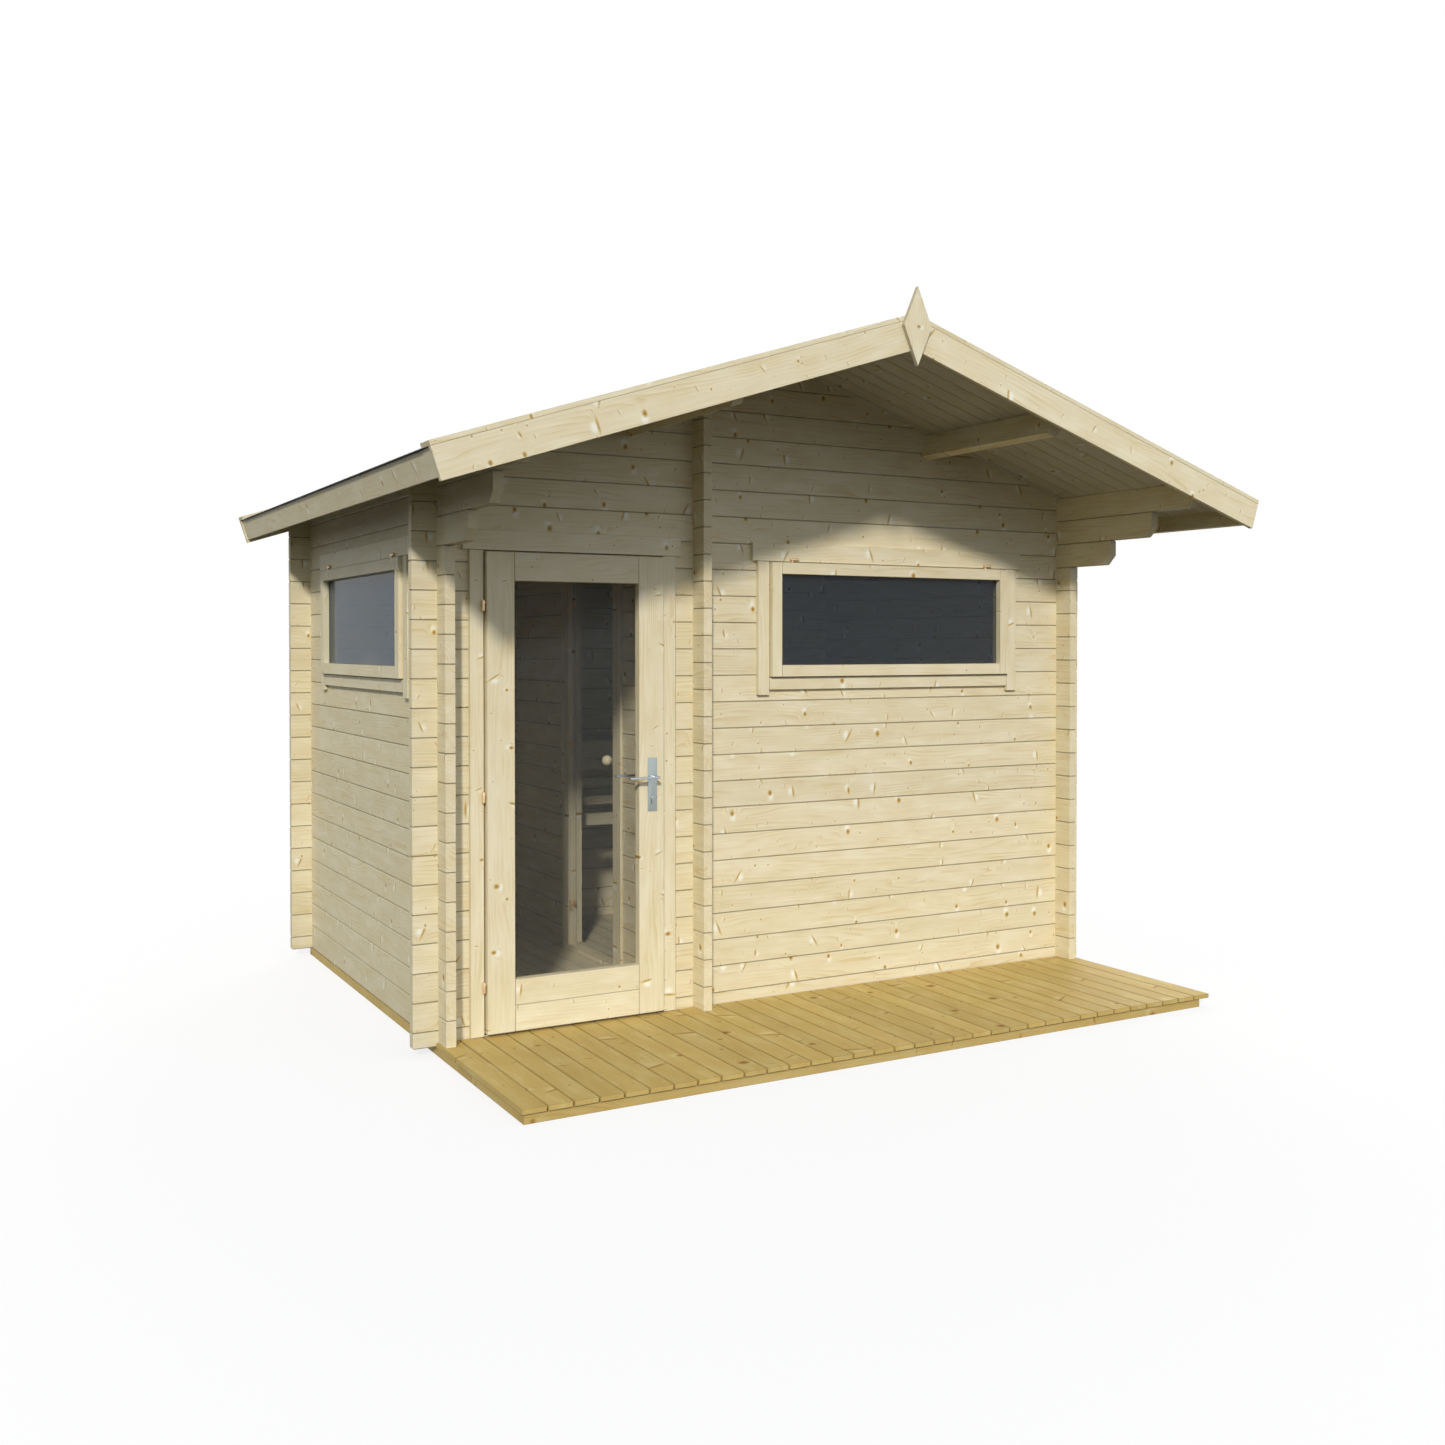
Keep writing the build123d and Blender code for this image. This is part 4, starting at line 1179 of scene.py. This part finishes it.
# Painted reflection: the side pane's deep blue body stands in for a blue sky mirrored in it.
side_glass_painted_sky = make_glass("side_glass_painted_sky", (0.004, 0.055, 0.10), 0.50)
door_glass = make_glass("door_glass", (0.12, 0.14, 0.15), 0.09)
inner_glass = make_glass("inner_glass", (0.10, 0.13, 0.13), 0.07)
pane("front_window_pane", "front_window_glass", "front_window_sash", "cabin", window_glass)
pane("side_window_pane", "side_window_glass", "side_window_sash", "cabin", side_glass_painted_sky)
pane("door_pane", "door_glass", "door_leaf", "door", door_glass)
cover(inner_glass, "inner_door_glass")

# %% [markdown]
# Metal gets its look from what it mirrors, and from the fine lines that brushing leaves, which are a
# noise stretched far along one axis. Copper keeps part of its own colour in shade, so it isn't fully
# metallic here.

# %% Finishes of the metals
def make_metal(name, colour, streaks, rough, metallic=1.0):
    tree = Tree(name)
    place = tree.add("ShaderNodeTexCoord", {}, {}, "Object")
    x, y, z = tree.split(place)
    brush = tree.noise(tree.vector(x * streaks[0], y * streaks[1], z * streaks[2]), 2.0)
    smudge = tree.noise(place, 2.0, 30.0)
    tone = tree.tint((*colour, 1), 0.90 + 0.16 * brush)
    return tree.finish(tree.add("ShaderNodeBsdfPrincipled", {}, {
        "Base Color": tone, "Metallic": metallic, "Normal": tree.bump(brush, 0.15, 0.0003),
        "Roughness": rough + 0.12 * brush + 0.10 * smudge}))


copper = make_metal("copper", (0.76, 0.57, 0.33), (900, 900, 60), 0.30, 0.45)
steel = make_metal("brushed_steel", (0.33, 0.375, 0.355), (1500, 1500, 40), 0.24)
lever_steel = make_metal("polished_steel", (0.42, 0.46, 0.50), (60, 900, 900), 0.16)
print("metals", copper.name, steel.name, lever_steel.name)

# %% [markdown]
# ## Hinges
# Each hinge is a small copper barrel of two knuckles, one on the frame and one on the leaf. The tips
# are domed and the split between the knuckles shows, so the barrels are turned from a profile here
# instead of being plain rods.

# %% The profile of a hinge barrel
knuckle_radius = 0.007
dome_share = 0.55
dome_turns = [math.radians(degrees) for degrees in (25, 50, 70, 90)]
rim = 0.0006


def barrel(length, low_dome, high_dome):
    """A plain tube with a domed outer end, or two, and a fine chamfer at a flat one."""
    radius = knuckle_radius
    dome = [(radius * math.sin(t), radius * dome_share * (1 - math.cos(t))) for t in dome_turns]
    low_end = dome if low_dome else [(radius - rim, 0.0), (radius, rim)]
    high_end = [(radius, length - rim), (radius - rim, length)]
    if high_dome:
        high_end = [(r, length - h) for r, h in reversed(dome)]
    return [(0.0, 0.0), *low_end, *high_end, (0.0, length)]


print("each dome in", len(dome_turns), "rings")

# %% [markdown]
# On the outer door a round pin runs from each knuckle into its board. The lower knuckle belongs to
# the frame and the upper one to the leaf, and each rides on its own body, so that they part as the
# door swings. The glass door's knuckles keep the construction's own mesh and are only given copper.

# %% Hinges of the two doors
pin_radius = 0.003
pin_steps = 16


def pin_hinge(name, node, body, upper):
    """Turned knuckles over the solids of a node. An upper knuckle's pin runs to the right into the
    leaf, and a lower one's runs back into the frame."""
    work = Workbench(name, copper)
    for low, high in islands(node):
        middle = (low + high) / 2
        x = low.x + knuckle_radius if upper else middle.x
        y = middle.y if upper else low.y + knuckle_radius
        reach = high.x - x if upper else high.y - y
        work.turned(barrel(high.z - low.z, not upper, upper), standing((x, y, low.z)))
        work.turned(rod(pin_radius, reach), standing((x, y, middle.z), X_AXIS if upper else Y_AXIS),
                    pin_steps)
    work.done("copper", body, node)


pin_hinge("outer_hinge_lower", "door_hinge_lower_knuckles", "cabin", False)
pin_hinge("outer_hinge_upper", "door_hinge_upper_knuckles", "door", True)
cover(copper, "inner_hinge_lower_knuckles", "inner_hinge_upper_knuckles")

# %% [markdown]
# The windows hang on lying barrels in front of their head casings. A short foot goes down from each
# one into the top of the sash.

# %% Hinges of the windows
barrel_length = 0.046
barrel_drop = 0.0005
foot_place = 0.24
foot_radius = 0.004
foot_length = knuckle_radius + 0.010
window_barrels = Workbench("window_barrels", copper)
for low, high in islands("window_hinges"):
    along_x = high.x - low.x > high.y - low.y
    up = X_AXIS if along_x else Y_AXIS
    middle = (low + high) / 2
    middle.z = high.z - barrel_drop
    start = middle - up * (barrel_length / 2)
    window_barrels.turned(barrel(barrel_length, True, True), standing(start, up))
    foot = start + up * (barrel_length * (foot_place if along_x else 1 - foot_place))
    window_barrels.turned(rod(foot_radius, foot_length), standing(foot, -Z_AXIS), pin_steps)
window_barrels.done("copper", "cabin", "window_hinges")

# %% [markdown]
# ## Handle
# Outside and inside, a long brushed plate carries a flat lever on a round neck, and below it the
# lock's cylinder in the usual keyhole shape stands a few millimetres proud. The plate's edges are
# rounded, which is what catches the light on it.

# %% Outlines of the plate and the lock cylinder
cylinder_radius = 0.0085
cylinder_tail = 0.005
cylinder_length = 0.033


def keyhole_outline(head_steps=20, foot_steps=8):
    """A round head with a narrower tail below it."""
    open_angle = math.asin(cylinder_tail / cylinder_radius)
    start, turn = -math.pi / 2 + open_angle, 2 * math.pi - 2 * open_angle
    head_turns = [start + turn * k / head_steps for k in range(head_steps + 1)]
    foot_turns = [math.pi + math.pi * k / foot_steps for k in range(foot_steps + 1)]
    end = cylinder_radius + cylinder_tail - cylinder_length
    return ([(cylinder_radius * math.cos(t), cylinder_radius * math.sin(t)) for t in head_turns]
            + [(cylinder_tail * math.cos(t), end + cylinder_tail * math.sin(t)) for t in foot_turns])


def rounded_rectangle(width, height, corner, steps=4):
    points = []
    for sx, sy, start in ((1, -1, -90), (1, 1, 0), (-1, 1, 90), (-1, -1, 180)):
        for k in range(steps + 1):
            t = math.radians(start + 90 * k / steps)
            points.append((sx * (width / 2 - corner) + corner * math.cos(t),
                           sy * (height / 2 - corner) + corner * math.sin(t)))
    return points


print("keyhole of", len(keyhole_outline()), "points")

# %% [markdown]
# A plate lies flat on each face of the leaf, and its cylinder hangs a hand's width below the lever's
# axis. Both are outlines pulled out of the face, in axes whose x runs to the viewer's right.

# %% Handle plates with their lock cylinders
plate_thickness = 0.003
plate_corner = 0.0028
plate_edge = 0.0009
cylinder_proud = 0.0045
cylinder_edge = 0.0007
cylinder_drop = 0.088
lever_low, lever_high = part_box("door_lever")
leaf_low, leaf_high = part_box("door_leaf")
lever_z = (lever_low.z + lever_high.z) / 2
plates = Workbench("handle_plates", steel)
for low, high in islands("door_handle_plates"):
    outside = low.y < leaf_low.y
    face = leaf_low.y if outside else leaf_high.y
    right = X_AXIS if outside else -X_AXIS
    middle = (low + high) / 2
    plates.flat(rounded_rectangle(high.x - low.x, high.z - low.z, plate_corner), plate_thickness,
                axes_at((middle.x, face, middle.z), right, Z_AXIS), plate_edge)
    plates.flat(keyhole_outline(), plate_thickness + cylinder_proud,
                axes_at((middle.x, face, lever_z - cylinder_drop), right, Z_AXIS), cylinder_edge)
plates.done("steel", "door", "door_handle_plates")

# %% [markdown]
# The two levers are one part on the real door, joined by a spindle through the lock. They turn
# together, so they are one object here too, on the lever's own body.

# %% Lever
neck_radius = 0.009
neck_step = 0.001
neck_foot = 0.0015
neck_gap = 0.0005
bar_height = 0.009
bar_depth = 0.018
bar_corner = 0.0055
bar_edge = 0.0024
heel = 0.010
spindle_radius = 0.004
lever_x = lever_high.x - heel
bar_middle = (lever_low.x + lever_high.x) / 2
lever = Workbench("lever_handle", lever_steel)
for out, face, bar_y in ((-1, leaf_low.y, lever_low.y + bar_depth / 2),
                         (1, leaf_high.y, lever_high.y - bar_depth / 2)):
    start = face + out * neck_gap
    neck_length = abs(bar_y - start)
    thin = neck_radius - neck_step
    lever.turned([(0.0, 0.0), (neck_radius, 0.0), (neck_radius, neck_foot),
                  (thin, neck_foot + neck_step), (thin, neck_length), (0.0, neck_length)],
                 standing((lever_x, start, lever_z), Y_AXIS * out))
    bar = rounded_rectangle(lever_high.x - lever_low.x, bar_depth, bar_corner)
    lever.flat(bar, bar_height, Matrix.Translation((bar_middle, bar_y, lever_z - bar_height / 2)),
               bar_edge, 4)
lever.turned(rod(spindle_radius, lever_high.y - lever_low.y - 2 * bar_depth),
             standing((lever_x, lever_low.y + bar_depth, lever_z), Y_AXIS), 12)
lever.done("steel", "lever", "door_lever")

# %% [markdown]
# The glass door has a turned wooden knob on each face: a short neck that flares to a rim, and a dome.
# Wood doesn't burn the hand in a hot room.

# %% Turned knobs of the glass door
knob_neck = 0.009
neck_height = 0.004
flare_foot = 0.006
widest_share = 0.55


def knob_profile(radius, tall, steps=9):
    """From the foot on the glass to the top of the dome."""
    turns = [math.pi / 2 * k / steps for k in range(steps + 1)]
    widest = tall * widest_share
    flare = [(knob_neck + (radius - knob_neck) * math.sin(t) ** 1.4,
              flare_foot + (widest - flare_foot) * (1 - math.cos(t)) ** 0.8) for t in turns]
    dome = [(radius * math.cos(t), widest + (tall - widest) * math.sin(t)) for t in turns[1:-1]]
    return [(0.0, 0.0), (knob_neck, 0.0), (knob_neck, neck_height), *flare, *dome, (0.0, tall)]


knob_wood = counted_material("turned_knobs", JOINERY, "x", "z", pitch=1.0, first=0.0, seed=99.0,
                             gap=no_joint)
knobs = Workbench("wooden_knobs", knob_wood)
glass_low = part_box("inner_door_glass")[0]
for low, high in islands("inner_door_knobs"):
    left = low.x < glass_low.x
    foot = (high.x if left else low.x, (low.y + high.y) / 2, (low.z + high.z) / 2)
    knobs.turned(knob_profile((high.z - low.z) / 2, high.x - low.x),
                 standing(foot, -X_AXIS if left else X_AXIS))
knobs.done("turned_wood", "inner_door", "inner_door_knobs")

# %% [markdown]
# ## The last look
# The dressed cabin has to fill the same box as its construction, so its box is printed.

# %% Measure and finish
low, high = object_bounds()
print("visual box", [round(c, 3) for c in low], [round(c, 3) for c in high])
